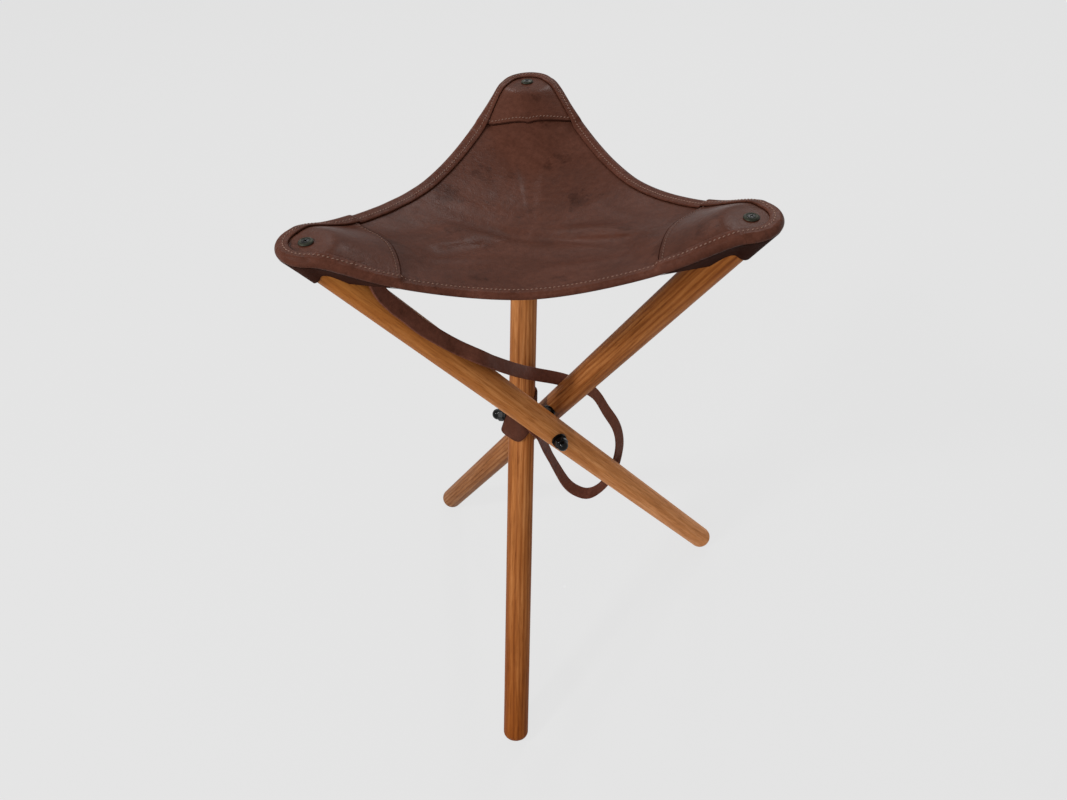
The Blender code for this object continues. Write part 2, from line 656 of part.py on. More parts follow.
def make_loop(material, parent):
    """The strap's end, wrapped round the rear leg: low in front, and over the stud behind."""
    turn = Matrix.Rotation(LEG_LEAN, 3, "Y")
    start = Vector((0, PIVOT_OFFSET, 0))
    rings = []
    for i in range(LOOP_STEPS):
        angle = 2 * math.pi * i / LOOP_STEPS
        climb = LOOP_RISE * (1 - math.cos(angle)) / 2 - LOOP_TILT * math.sin(angle)
        climb -= LOOP_SAG * math.exp(-(((angle - LOOP_SAG_TURN) / LOOP_SAG_SPREAD) ** 2))
        away = Vector((-math.sin(angle), math.cos(angle), 0))
        middle = LEG_RADIUS + SEAT_GAP + STRAP_THICKNESS / 2
        outline = strap_outline(STRAP_WIDTH, STRAP_THICKNESS)
        ring = [away * (middle + y) + Vector((0, 0, climb + x)) for x, y in outline]
        rings.append([start + turn @ point for point in ring])
    band = piece("strap_loop", loft(rings, closed=True), material, parent)
    inner = (0, PIVOT_OFFSET, 0)
    outer = (0, PIVOT_OFFSET + LEG_DIAMETER, 0)
    hole = rod(STUD_DIAMETER / 2 + BORE_GAP, inner, outer, parent, material)
    combine(band, hole, "DIFFERENCE")
    return band


def centre_on_floor(root, pieces):
    """Moves the stool so that its box stands centred on the floor over the origin."""
    bpy.context.view_layer.update()
    corners = [thing.matrix_world @ vert.co for thing in pieces for vert in thing.data.vertices]
    middle = [(max(c[i] for c in corners) + min(c[i] for c in corners)) / 2 for i in range(2)]
    root.location = (-middle[0], -middle[1], 0)
    bpy.context.view_layer.update()


def main():
    clear_scene()
    oak = finish("oiled_oak", (0.42, 0.19, 0.065), 0.42)
    leather = finish("seat_leather", (0.085, 0.032, 0.022), 0.5)
    edging = finish("binding_leather", (0.095, 0.036, 0.025), 0.48)
    strap = finish("strap_leather", (0.06, 0.022, 0.016), 0.5)
    black = finish("black_steel", (0.01, 0.01, 0.01), 0.25, 1.0)
    bronze = finish("dark_bronze", (0.045, 0.048, 0.036), 0.45, 1.0)
    root = empty("stool")
    hub = empty("pivot", root, (0, 0, PIVOT_HEIGHT))
    frames = {leg: empty(f"fold_{leg}", hub, turn=turn) for leg, turn in TOP_AZIMUTHS.items()}
    pieces = [make_bolt(black, hub, frames), make_seat(leather, hub), make_binding(edging, hub)]
    for corner, (leg, frame) in enumerate(frames.items()):
        inner = CORE_RADIUS + SEAT_GAP
        outer = nut_seat(leg)
        nut = outer + OUTER_WASHER_THICKNESS + SEAT_GAP
        inner_size = (INNER_WASHER_DIAMETER, INNER_WASHER_THICKNESS, inner)
        outer_size = (OUTER_WASHER_DIAMETER, OUTER_WASHER_THICKNESS, outer)
        pieces += [
            make_leg(leg, oak, frame),
            washer(f"inner_washer_{leg}", *inner_size, black, frame),
            washer(f"outer_washer_{leg}", *outer_size, black, frame),
            make_nut(leg, nut, black, frame),
            make_pocket(leg, corner, leather, frame),
            make_cup(leg, bronze, frame),
            make_screw(leg, black, frame),
            make_patch(leg, corner, leather, hub),
        ]
    pieces.append(make_loop(strap, frames["c"]))
    centre_on_floor(root, pieces)
    make_strap(strap, hub)
    place = hub.matrix_world.translation
    bpy.context.view_layer.update()
    print("pivot centre", [round(value, 5) for value in place])
    print("fold angle in degrees", round(math.degrees(LEG_LEAN), 3))


main()
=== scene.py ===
# %% [markdown]
# # A folding hunting stool in oak and leather
# Three round oak legs cross at a black pivot and carry a sagging triangle of dark brown leather. This
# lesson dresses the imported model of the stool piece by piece: first the camera and the finishes, then the
# strap, the legs and the pivot, and last the hide with its patches, binding, pockets, stitches and
# screws.

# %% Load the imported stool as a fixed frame
import json
import math

import bmesh
import bpy
import numpy as np
from mathutils import Matrix, Vector, noise


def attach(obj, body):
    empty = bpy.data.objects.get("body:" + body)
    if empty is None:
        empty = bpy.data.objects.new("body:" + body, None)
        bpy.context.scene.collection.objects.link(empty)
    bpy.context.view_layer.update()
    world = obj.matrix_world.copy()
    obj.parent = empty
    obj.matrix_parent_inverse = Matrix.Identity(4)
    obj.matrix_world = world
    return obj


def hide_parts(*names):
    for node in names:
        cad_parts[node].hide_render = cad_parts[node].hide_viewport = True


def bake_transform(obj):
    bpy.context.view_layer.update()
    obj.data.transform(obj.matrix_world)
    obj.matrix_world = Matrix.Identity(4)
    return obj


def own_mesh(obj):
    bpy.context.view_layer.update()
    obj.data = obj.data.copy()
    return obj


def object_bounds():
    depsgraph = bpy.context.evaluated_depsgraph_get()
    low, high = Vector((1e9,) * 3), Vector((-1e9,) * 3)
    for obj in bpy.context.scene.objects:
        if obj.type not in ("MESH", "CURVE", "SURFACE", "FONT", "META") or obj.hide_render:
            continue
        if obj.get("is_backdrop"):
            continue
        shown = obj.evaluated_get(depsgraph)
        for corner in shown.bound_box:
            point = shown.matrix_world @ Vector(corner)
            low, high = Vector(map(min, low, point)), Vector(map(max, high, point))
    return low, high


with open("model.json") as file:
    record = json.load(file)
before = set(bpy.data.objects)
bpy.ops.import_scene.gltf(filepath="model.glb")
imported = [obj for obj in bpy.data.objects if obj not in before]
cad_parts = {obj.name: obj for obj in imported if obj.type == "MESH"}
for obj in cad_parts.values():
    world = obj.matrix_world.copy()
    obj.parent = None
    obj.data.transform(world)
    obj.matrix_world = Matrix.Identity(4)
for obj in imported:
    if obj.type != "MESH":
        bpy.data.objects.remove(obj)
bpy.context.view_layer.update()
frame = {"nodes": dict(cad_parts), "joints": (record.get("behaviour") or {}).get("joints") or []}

PIVOT = np.array(frame["joints"][0]["pos_m"])

# %% [markdown]
# ## The camera
# The photograph was taken close and from above, so its perspective is strong. The numbers below come from
# fitting a pinhole camera to the leg edges, the screws and the outline of the seat: where the camera
# stands round the pivot, how far away it is, a small extra turn, and the focal length in pixels of a frame
# 1067 pixels wide. Blender's lens is that focal length on a 36 mm sensor. Like everything made below, the
# camera only shows up once its object is linked into the scene, so a small helper does that.

# %% Stand the camera where the photograph was taken
CAMERA_AZIMUTH = math.radians(9.53)
CAMERA_ELEVATION = math.radians(44.50)
CAMERA_DISTANCE = 0.8207
CAMERA_TURN = Vector((-0.0217, -0.0131, 0.0716))
FOCAL_PIXELS = 763.8
FRAME_WIDTH = 1067
SENSOR = 36.0
CLIP_START = 0.01


def in_scene(name, data):
    """Puts new data into the scene as an object."""
    thing = bpy.data.objects.new(name, data)
    bpy.context.scene.collection.objects.link(thing)
    return thing


def photo_camera():
    level = math.cos(CAMERA_ELEVATION)
    sideways, forwards = math.sin(CAMERA_AZIMUTH), math.cos(CAMERA_AZIMUTH)
    back = Vector((sideways * level, -forwards * level, math.sin(CAMERA_ELEVATION)))
    right = Vector((0, 0, 1)).cross(back).normalized()
    to_camera = Matrix((right, back.cross(right), back))
    turned = Matrix.Rotation(CAMERA_TURN.length, 3, CAMERA_TURN) @ to_camera
    camera = in_scene("photo_camera", bpy.data.cameras.new("photo_camera"))
    camera.data.sensor_width = SENSOR
    camera.data.lens = FOCAL_PIXELS / FRAME_WIDTH * SENSOR
    camera.data.clip_start = CLIP_START
    place = Vector(PIVOT) + back * CAMERA_DISTANCE
    camera.matrix_world = Matrix.Translation(place) @ turned.transposed().to_4x4()
    bpy.context.scene.camera = camera
    return camera


camera = photo_camera()
print("camera at", [round(x, 3) for x in camera.location], "lens", round(camera.data.lens, 2))

# %% [markdown]
# ## Node finishes
# Every finish here is made of nodes, with no pictures. A small helper adds a node and wires its inputs, so
# that each recipe below reads from top to bottom: where on the piece, which pattern, which colour.

# %% Helpers that wire up a finish


def add(tree, kind, wires=None, **settings):
    """Adds a node, sets its settings and wires or fills the inputs named in wires."""
    made = tree.nodes.new("ShaderNode" + kind)
    for key, value in settings.items():
        setattr(made, key, value)
    for key, value in (wires or {}).items():
        if isinstance(value, bpy.types.NodeSocket):
            tree.links.new(value, made.inputs[key])
        else:
            made.inputs[key].default_value = value
    return made


def new_finish(name):
    """A new material with its node tree, its shader and the place on the piece that its patterns read."""
    material = bpy.data.materials.new(name)
    material.use_nodes = True
    tree = material.node_tree
    space = add(tree, "TexCoord").outputs["Object"]
    return material, tree, tree.nodes["Principled BSDF"], space


def ramp(tree, factor, stops):
    """A colour ramp through (place, colour) stops."""
    made = add(tree, "ValToRGB", {"Fac": factor})
    band = made.color_ramp
    while len(band.elements) < len(stops):
        band.elements.new(0.5)
    for element, (place, colour) in zip(band.elements, stops):
        element.position = place
        element.color = (*colour, 1)
    return made.outputs["Color"]


def mix(tree, factor, first, second, way="MIX"):
    made = tree.nodes.new("ShaderNodeMix")
    made.data_type = "RGBA"
    made.blend_type = way
    for socket, value in ((made.inputs[0], factor), (made.inputs[6], first), (made.inputs[7], second)):
        if isinstance(value, bpy.types.NodeSocket):
            tree.links.new(value, socket)
        else:
            socket.default_value = (*value, 1) if isinstance(value, tuple) else value
    return made.outputs[2]


def noise_on(tree, place, scale, detail=4.0, rough=0.55, twist=0.0):
    wires = {"Vector": place, "Scale": scale, "Detail": detail, "Roughness": rough, "Distortion": twist}
    return add(tree, "TexNoise", wires).outputs["Fac"]


def spread(tree, value, low, high):
    """Reads a value between 0 and 1 out to another range."""
    wires = {"Value": value, "To Min": low, "To Max": high}
    return add(tree, "MapRange", wires).outputs["Result"]


def bump(tree, shader, height, depth, strength=1.0, under=None):
    wires = {"Height": height, "Distance": depth, "Strength": strength}
    if under is not None:
        wires["Normal"] = under
    made = add(tree, "Bump", wires)
    tree.links.new(made.outputs["Normal"], shader.inputs["Normal"])
    return made.outputs["Normal"]


# %% [markdown]
# ## Leather
# The hide is waxed, dark reddish brown and already a little worn: redder clouds a few centimetres wide,
# paler rubbed places, thin scars, shallow creases and a fine pebbled grain about a millimetre wide. All of
# them are noise patterns of different size, read in the stool's own space so that they run on from one piece
# of the hide to the next. Every leather also carries painted light and shade: its colour is lifted on the
# left side of the stool and darkened towards the right, as if lit from the left.

# %% Make the leathers
SIDE_SHADE_REACH = 0.25
LEFT_PAINTED_LIGHT = 1.10
RIGHT_PAINTED_SHADE = 0.78
WAX_SPREAD = 0.12


def leather(name, dark, middle, rubbed, gloss, shine, crease, offset):
    material, tree, shader, space = new_finish(name)
    place = add(tree, "Mapping", {"Vector": space, "Location": offset}).outputs["Vector"]
    clouds = noise_on(tree, place, scale=15.0, detail=7.0, rough=0.66, twist=0.8)
    colour = ramp(tree, clouds, [(0.33, dark), (0.50, middle), (0.67, rubbed)])
    mottle = noise_on(tree, place, scale=210.0, detail=5.0, rough=0.72)
    blush = ramp(tree, mottle, [(0.28, (0.60, 0.56, 0.54)), (0.50, (1, 1, 1)), (0.74, (1.38, 1.42, 1.44))])
    colour = mix(tree, 0.85, colour, blush, "MULTIPLY")
    ridges = {"Vector": place, "Scale": 26.0, "Detail": 9.0, "Roughness": 0.62}
    ridges.update({"Lacunarity": 2.2, "Offset": 1.0, "Gain": 2.2})
    scars = add(tree, "TexNoise", ridges, noise_type="RIDGED_MULTIFRACTAL", normalize=True).outputs["Fac"]
    lines = ramp(tree, scars, [(0.66, (0, 0, 0)), (0.92, (1, 1, 1))])
    colour = mix(tree, spread(tree, lines, 0.0, 0.20), colour, tuple(1.7 * value for value in rubbed))
    # Painted light and shade: the colour is lifted on the stool's left and darkened towards its right.
    side = add(tree, "SeparateXYZ", {"Vector": space}).outputs["X"]
    side_shade = {"Value": side, "From Min": -SIDE_SHADE_REACH, "From Max": SIDE_SHADE_REACH}
    side_shade.update({"To Min": LEFT_PAINTED_LIGHT, "To Max": RIGHT_PAINTED_SHADE})
    colour = mix(tree, 1.0, colour, add(tree, "MapRange", side_shade).outputs["Result"], "MULTIPLY")
    tree.links.new(colour, shader.inputs["Base Color"])
    grain = add(tree, "TexVoronoi", {"Vector": place, "Scale": 900.0, "Randomness": 1.0}, feature="F1")
    pebble = spread(tree, grain.outputs["Distance"], 0.0, 0.7)
    wax = noise_on(tree, place, scale=48.0, detail=5.0, rough=0.65)
    tree.links.new(spread(tree, wax, gloss - WAX_SPREAD, gloss + WAX_SPREAD), shader.inputs["Roughness"])
    creases = noise_on(tree, place, scale=95.0, detail=3.0, rough=0.5, twist=1.2)
    low = bump(tree, shader, creases, crease, 0.5)
    low = bump(tree, shader, mottle, 0.0005, 0.35, low)
    bump(tree, shader, pebble, 0.00022, 0.45, low)
    shader.inputs["Specular IOR Level"].default_value = shine
    return material


hide_leather = leather(
    "hide_leather", (0.046, 0.0155, 0.0090), (0.068, 0.0232, 0.0138), (0.094, 0.0350, 0.0225),
    gloss=0.34, shine=0.032, crease=0.0006, offset=(0, 0, 0),
)
# A darker copy of the hide leather, a painted shade: the pockets wear it for the shade under the corners, and
# the patch rims for a shadow line.
painted_shade_leather = leather(
    "painted_shade_leather", (0.022, 0.0068, 0.0040), (0.030, 0.0094, 0.0056), (0.040, 0.0136, 0.0086),
    gloss=0.60, shine=0.006, crease=0.0010, offset=(0.2, 0.6, 0.4),
)
edge_leather = leather(
    "edge_leather", (0.052, 0.0175, 0.0104), (0.077, 0.0260, 0.0157), (0.105, 0.0390, 0.0252),
    gloss=0.36, shine=0.03, crease=0.0026, offset=(0.3, 0.1, 0.2),
)
# The strap's leather is paler than the hide: partly its own tone and partly painted light, brightened where
# the seat's shadow falls on it.
painted_light_strap_leather = leather(
    "painted_light_strap_leather", (0.100, 0.0345, 0.0205), (0.134, 0.0465, 0.0290), (0.170, 0.0640, 0.0420),
    gloss=0.42, shine=0.020, crease=0.0012, offset=(0.7, 0.4, 0.1),
)
print("leathers", [m.name for m in (hide_leather, painted_shade_leather, edge_leather, painted_light_strap_leather)])

# %% [markdown]
# ## Oak
# Oak shows long straight grain: broad amber and brown stripes, the arches of its yearly rings where the saw
# met them at a slant, and short dark pores. All of them are noise or rings stretched a long way along the
# leg, so each leg needs a space whose Z runs along it. That is why each leg below is an object turned to lie
# along its own Z. An offset gives each leg its own board, and two tones pale or darken each leg from foot to
# top: partly the board's own colour and partly painted light and shade for how the lamps and the seat's
# shadow fall along the leg.

# %% Make the oak
AMBER = (0.375, 0.134, 0.0295)
PALE = (0.500, 0.210, 0.0590)
BOARD_STRETCH = 0.050
FIBRE_STRETCH = 0.045
OAK_SHINE = 0.06


def oak(name, offset, foot_tone_and_light, top_tone_and_light, streaky):
    material, tree, shader, space = new_finish(name)
    stretched = []
    for stretch in (BOARD_STRETCH, FIBRE_STRETCH):
        wires = {"Vector": space, "Location": offset, "Scale": (1.0, 1.0, stretch)}
        stretched.append(add(tree, "Mapping", wires).outputs["Vector"])
    board, fibre = stretched
    stripes = noise_on(tree, board, scale=230.0, detail=6.0, rough=0.66, twist=0.4)
    brown = tuple(value * (0.90 - 0.45 * streaky) for value in AMBER)
    colour = ramp(tree, stripes, [(0.28, brown), (0.46, AMBER), (0.68, PALE)])
    # Painted light and shade along the leg: the two tones, partly the wood's own colour, pale or darken it
    # from foot to top.
    height = add(tree, "SeparateXYZ", {"Vector": space}).outputs["Z"]
    along = add(tree, "MapRange", {"Value": height, "From Min": -0.38, "From Max": 0.30}).outputs["Result"]
    tone_and_light = ramp(tree, along, [(0.0, foot_tone_and_light), (1.0, top_tone_and_light)])
    colour = mix(tree, 1.0, colour, tone_and_light, "MULTIPLY")
    bent = add(tree, "VectorMath", {0: board, 1: (0.05, 0.035, 0.0)}, operation="ADD").outputs[0]
    wires = {"Vector": bent, "Scale": 70.0, "Distortion": 4.0, "Detail": 3.0, "Detail Scale": 1.4}
    rings = add(tree, "TexWave", wires, wave_type="RINGS", rings_direction="Z").outputs["Fac"]
    late = ramp(tree, rings, [(0.0, (1, 1, 1)), (0.60, (0.95, 0.92, 0.88)), (0.95, (0.60, 0.48, 0.37))])
    colour = mix(tree, streaky, colour, late, "MULTIPLY")
    pores = noise_on(tree, fibre, scale=1150.0, detail=3.0, rough=0.6)
    pits = ramp(tree, pores, [(0.36, (0.46, 0.36, 0.28)), (0.47, (1, 1, 1))])
    patchy = noise_on(tree, board, scale=60.0, detail=2.0, rough=0.5)
    colour = mix(tree, spread(tree, patchy, 0.15, 0.85), colour, pits, "MULTIPLY")
    tree.links.new(colour, shader.inputs["Base Color"])
    tree.links.new(spread(tree, stripes, 0.56, 0.40), shader.inputs["Roughness"])
    low = bump(tree, shader, pores, 0.0004, 0.35)
    bump(tree, shader, stripes, 0.0006, 0.12, low)
    shader.inputs["Specular IOR Level"].default_value = OAK_SHINE
    return material


oak_of = {
    "a": oak("oak_a", (0.013, 0.021, 0.40), (1.72, 1.92, 2.90), (1.02, 0.94, 0.76), 0.20),
    "b": oak("oak_b", (0.231, -0.112, 0.11), (0.78, 0.90, 1.50), (0.96, 0.84, 0.72), 0.75),
    "c": oak("oak_c", (-0.142, 0.083, 0.77), (0.68, 0.50, 0.32), (1.50, 1.66, 2.30), 0.65),
}
print("oak boards", sorted(oak_of))

# %% [markdown]
# ## Metal and thread
# The pivot's nuts are black enamel with a hard gloss, the bolt, the washers and the screws are blackened
# steel, and the cup washers are an old dark bronze with greenish hollows. The thread is a pale pinkish tan
# that has taken some colour from the wax, most of all on the two front patches, where hands rub it.

# %% Make the metals and the thread
METAL_SHINE = 0.16
THREAD_ROUGHNESS = 0.75


def metal(name, colours, metallic, gloss, size):
    material, tree, shader, space = new_finish(name)
    tarnish = noise_on(tree, space, size, detail=5.0, rough=0.6)
    tree.links.new(ramp(tree, tarnish, [(0.35, colours[0]), (0.68, colours[1])]), shader.inputs["Base Color"])
    tree.links.new(spread(tree, tarnish, gloss - 0.06, gloss + 0.10), shader.inputs["Roughness"])
    shader.inputs["Metallic"].default_value = metallic
    shader.inputs["Specular IOR Level"].default_value = METAL_SHINE
    bump(tree, shader, tarnish, 0.00012, 0.25)
    return material


def thread_finish(name, dark, pale):
    material, tree, shader, space = new_finish(name)
    twist = noise_on(tree, space, scale=900.0, detail=3.0, rough=0.6)
    tree.links.new(ramp(tree, twist, [(0.3, dark), (0.7, pale)]), shader.inputs["Base Color"])
    shader.inputs["Roughness"].default_value = THREAD_ROUGHNESS
    bump(tree, shader, twist, 0.0002, 0.5)
    return material


enamel = metal("black_enamel", ((0.0018, 0.0018, 0.0018), (0.0035, 0.0033, 0.0033)), 0.0, 0.08, 420.0)
steel = metal("blackened_steel", ((0.012, 0.012, 0.012), (0.030, 0.029, 0.027)), 1.0, 0.38, 380.0)
bronze = metal("old_bronze", ((0.018, 0.020, 0.014), (0.042, 0.042, 0.030)), 0.80, 0.46, 300.0)
thread = thread_finish("waxed_thread", (0.130, 0.062, 0.042), (0.27, 0.155, 0.112))
brown_thread = thread_finish("browned_thread", (0.075, 0.031, 0.020), (0.150, 0.072, 0.047))
print("metals", [m.name for m in (enamel, steel, bronze)])

# %% [markdown]
# ## Meshes from grids
# Strap, binding, hide and legs are all skins over a grid of points: one direction runs along the piece and
# the other round or across it. Working the normals out on the whole grid first, and only then cutting the
# grid into separate objects, keeps the shading smooth across the cuts, which would otherwise show as seams.
# Most pieces of the stool also hide the part of the imported model that they stand in for.

# %% Helpers that skin a grid of points
TINY = 1e-12


def unit(vectors):
    """Vectors brought to length one."""
    return vectors / np.maximum(np.linalg.norm(vectors, axis=-1, keepdims=True), TINY)


def full_turn(sides):
    """Even angles once round."""
    return np.linspace(0, 2 * math.pi, sides, endpoint=False)


def dress(thing, node):
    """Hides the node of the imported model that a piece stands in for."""
    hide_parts(node)
    return thing


def grid_normals(points, wrap):
    """Normals of a grid (n, m, 3) from its neighbours, closed in its second direction where wrap is set."""
    along = np.gradient(points, axis=0)
    if wrap:
        across = np.roll(points, -1, 1) - np.roll(points, 1, 1)
    else:
        across = np.gradient(points, axis=1)
    return unit(np.cross(along, across))


def outward(rings):
    """Normals of a tube of rings, turned away from the middle of each ring."""
    normals = grid_normals(rings, True)
    away = rings - rings.mean(1, keepdims=True)
    return normals if (normals * away).sum() > 0 else -normals


class Skin:
    """Collects grids of points with normals and turns them into one mesh."""

    def __init__(self):
        self.points, self.normals, self.faces = [], [], []

    def grid(self, points, normals, wrap=False):
        """Adds a grid of faces, wound so that they look the way that its normals do."""
        rows, columns = points.shape[:2]
        base = sum(len(block) for block in self.points)
        self.points.append(points.reshape(-1, 3))
        self.normals.append(normals.reshape(-1, 3))
        facing = np.cross(points[1:] - points[:-1], (np.roll(points, -1, 1) - points)[:-1])
        used = columns if wrap else columns - 1
        agrees = (facing * normals[:-1])[:, :used].sum() > 0
        for i in range(rows - 1):
            for j in range(used):
                near, far = base + i * columns, base + (i + 1) * columns
                k = (j + 1) % columns
                face = (near + j, far + j, far + k, near + k)
                self.faces.append(face if agrees else face[::-1])
        return self

    def fan(self, ring, normal):
        """Closes a ring of points with one flat face that looks along a normal."""
        base = sum(len(block) for block in self.points)
        self.points.append(ring)
        self.normals.append(np.tile(normal, (len(ring), 1)))
        face = tuple(range(base, base + len(ring)))
        agrees = np.cross(ring, np.roll(ring, -1, 0)).sum(0) @ normal > 0
        self.faces.append(face if agrees else face[::-1])
        return self

    def piece(self, name, material):
        mesh = bpy.data.meshes.new(name)
        mesh.from_pydata(np.concatenate(self.points).tolist(), [], self.faces)
        mesh.shade_smooth()
        mesh.normals_split_custom_set_from_vertices(np.concatenate(self.normals).tolist())
        mesh.materials.append(material)
        return in_scene(name, mesh)


def swept(sections):
    """A closed tube over equal sections (n, m, 3), with flat ends."""
    middle = sections.mean(1)
    skin = Skin().grid(sections, outward(sections), wrap=True)
    skin.fan(sections[0], unit(middle[0] - middle[1]))
    skin.fan(sections[-1], unit(middle[-1] - middle[-2]))
    return skin


def flat_section(width, thickness, edge):
    """A strap's cross-section with eased edges, as (across, through) points all round."""
    points = []
    for x_sign, y_sign, start in ((1, 1, 0), (-1, 1, 90), (-1, -1, 180), (1, -1, 270)):
        for step in range(4):
            turn = math.radians(start + 30 * step)
            points.append((
                x_sign * (width / 2 - edge) + edge * math.cos(turn),
                y_sign * (thickness / 2 - edge) + edge * math.sin(turn),
            ))
    return np.array(points)


# %% [markdown]
# ## The carrying strap
# A flat leather strap leaves the underside of the front left corner, lies along leg a, passes behind leg b,
# swings out in a loop and comes back to a band round the rear leg. It could be draped by simulation, but the
# photograph shows just where it runs, so its middle line is a smooth curve through chosen points and a
# second list says which way its flat face looks.

# %% Lay the strap along its route
STRAP_WIDTH = 0.014
STRAP_THICKNESS = 0.0022
STRAP_EDGE = 0.0008
STRAP_STEPS = 240
STRAP_ROUTE = np.array([
    (-0.1270, -0.0970, 0.2713), (-0.1190, -0.0985, 0.2610), (-0.1115, -0.1025, 0.2470),
    (-0.1064, -0.1028, 0.2321), (-0.0991, -0.1005, 0.2180), (-0.0923, -0.0966, 0.2064),
    (-0.0840, -0.0922, 0.1919), (-0.0755, -0.0866, 0.1783), (-0.0602, -0.0746, 0.1548),
    (-0.0420, -0.0673, 0.1376), (-0.0330, -0.0500, 0.1160), (-0.0242, -0.0300, 0.0930),
    (-0.0180, -0.0091, 0.0710), (-0.0085, 0.0165, 0.0450),
    (0.0190, 0.0380, 0.0190), (0.0490, 0.0390, 0.0030), (0.0650, 0.0375, -0.0250),
    (0.0760, 0.0380, -0.0490), (0.0800, 0.0390, -0.0750), (0.0780, 0.0400, -0.1030),
    (0.0720, 0.0390, -0.1290), (0.0600, 0.0360, -0.1520), (0.0440, 0.0320, -0.1630),
    (0.0300, 0.0270, -0.1540), (0.0180, 0.0210, -0.1330), (0.0070, 0.0140, -0.0950),
    (-0.0010, 0.0060, -0.0580), (-0.0035, -0.0030, -0.0320), (-0.0042, -0.0115, -0.0150),
    (-0.0092, -0.0168, -0.0010), (-0.0145, -0.0128, 0.0085),
])
STRAP_FACES = np.array([
    (0.36, 0.36, 0.86), (0.86, -0.29, 0.41), (0.83, -0.44, 0.345), (0.85, -0.32, 0.39),
    (0.66, -0.30, 0.60), (0.40, -0.55, 0.68), (0.12, -0.70, 0.70), (0.36, -0.65, 0.60),
    (0.90, -0.28, 0.28), (0.80, -0.45, 0.38), (0.70, -0.58, 0.42), (0.60, -0.58, 0.52),
    (0.70, -0.45, 0.48), (0.85, -0.35, 0.30), (1.00, -0.12, 0.18), (0.85, -0.40, 0.35),
    (0.54, -0.70, 0.48),
])
CURVE_STEPS = 16


def lengths_along(points):
    """How far each point lies from the first, measured along the line."""
    return np.concatenate([[0], np.cumsum(np.linalg.norm(np.diff(points, axis=0), axis=1))])


def read_at(spots, places, values):
    """Rows of values that are known at places, read in between at spots."""
    return np.stack([np.interp(spots, places, column) for column in values.T], 1)


def smooth_route(points, steps):
    """Evenly spaced points on a smooth curve through the given ones."""
    ends = np.vstack([2 * points[0] - points[1], points, 2 * points[-1] - points[-2]])
    t = (np.arange(CURVE_STEPS) / CURVE_STEPS)[:, None]
    dense = []
    for a, b, c, d in zip(ends, ends[1:], ends[2:], ends[3:]):
        bend = 2 * b + (c - a) * t + (2 * a - 5 * b + 4 * c - d) * t**2
        dense.append((bend + (3 * b - a - 3 * c + d) * t**3) / 2)
    dense = np.vstack(dense + [points[-1:]])
    lengths = lengths_along(dense)
    return read_at(np.linspace(0, lengths[-1], steps + 1), lengths, dense), lengths[-1]


def ribbon(route, faces, outline):
    """Sections of a strap whose flat side looks the way that faces says at even steps along it."""
    share = np.linspace(0, len(faces) - 1, len(route))
    ahead = np.gradient(route, axis=0)
    across = unit(np.cross(read_at(share, range(len(faces)), faces), ahead))
    through = unit(np.cross(ahead, across))
    return route[:, None] + across[:, None] * outline[None, :, :1] + through[:, None] * outline[None, :, 1:]


strap_route, strap_length = smooth_route(STRAP_ROUTE + PIVOT, STRAP_STEPS)
strap_outline = flat_section(STRAP_WIDTH, STRAP_THICKNESS, STRAP_EDGE)
# The strap wears the paler leather with its painted light.
strap = swept(ribbon(strap_route, STRAP_FACES, strap_outline)).piece("carry_strap_band", painted_light_strap_leather)
dress(strap, "carry_strap")
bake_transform(strap)
print("strap length in metres", round(float(strap_length), 3))

# %% [markdown]
# ## The legs
# Each leg is a plain round dowel with a rounded foot, standing on a small worn flat, and a level top under
# the leather. A dowel is a lathe shape, so its rings are worked out along Z. A turned and sanded leg is never
# quite true, so the rings carry a wander of a few hundredths of a millimetre, which softens the highlights.

# %% Turn the three legs
LEGS = "abc"
AZIMUTHS = np.radians([210.0, 330.0, 90.0])
LEAN = math.radians(34.3)
LEG_RADIUS = 0.014
LEG_BELOW = 0.379
FOOT_ROUNDING = 0.0085
PIVOT_OFFSET = 0.0243
LEG_TOP = 0.2780
TOP_CHAMFER = 0.0015
TOP_HOLE = 0.0005
SHAFT_TOP = 0.318
FOOT_RINGS = 10
TOP_RINGS = 3
LEG_SIDES = 72
LEG_ROWS = 60
WANDER = 0.00007
WANDER_ROUND = 40
WANDER_ALONG = 18


def leg_frame(azimuth):
    """A space at the pivot whose X points out below a leg's top."""
    return Matrix.Translation(Vector(PIVOT)) @ Matrix.Rotation(azimuth, 4, "Z")


def leg_space(azimuth):
    """The space of a leg: origin where its axis passes the pivot, Z up along the leg."""
    return leg_frame(azimuth) @ Matrix.Translation((0, PIVOT_OFFSET, 0)) @ Matrix.Rotation(LEAN, 4, "Y")


def leg_rings():
    turns = full_turn(LEG_SIDES)
    rows = []
    for step in range(FOOT_RINGS):
        angle = math.pi / 2 * step / (FOOT_RINGS - 1)
        radius = LEG_RADIUS - FOOT_ROUNDING * (1 - math.sin(angle))
        rows.append((radius, -LEG_BELOW + FOOT_ROUNDING * (1 - math.cos(angle)), False))
    start = -LEG_BELOW + FOOT_ROUNDING
    for step in range(1, LEG_ROWS):
        rows.append((LEG_RADIUS, start + (SHAFT_TOP - start) * step / LEG_ROWS, False))
    rows += [(LEG_RADIUS, LEG_TOP - TOP_CHAMFER, True), (LEG_RADIUS - TOP_CHAMFER, LEG_TOP, True)]
    rows.append((TOP_HOLE, LEG_TOP, True))
    rings = []
    for radius, height, level in rows:
        x, y = radius * np.cos(turns), radius * np.sin(turns)
        z = (height + x * math.sin(LEAN)) / math.cos(LEAN) if level else np.full(LEG_SIDES, height)
        rings.append(np.stack([x, y, z], 1))
    return np.array(rings)


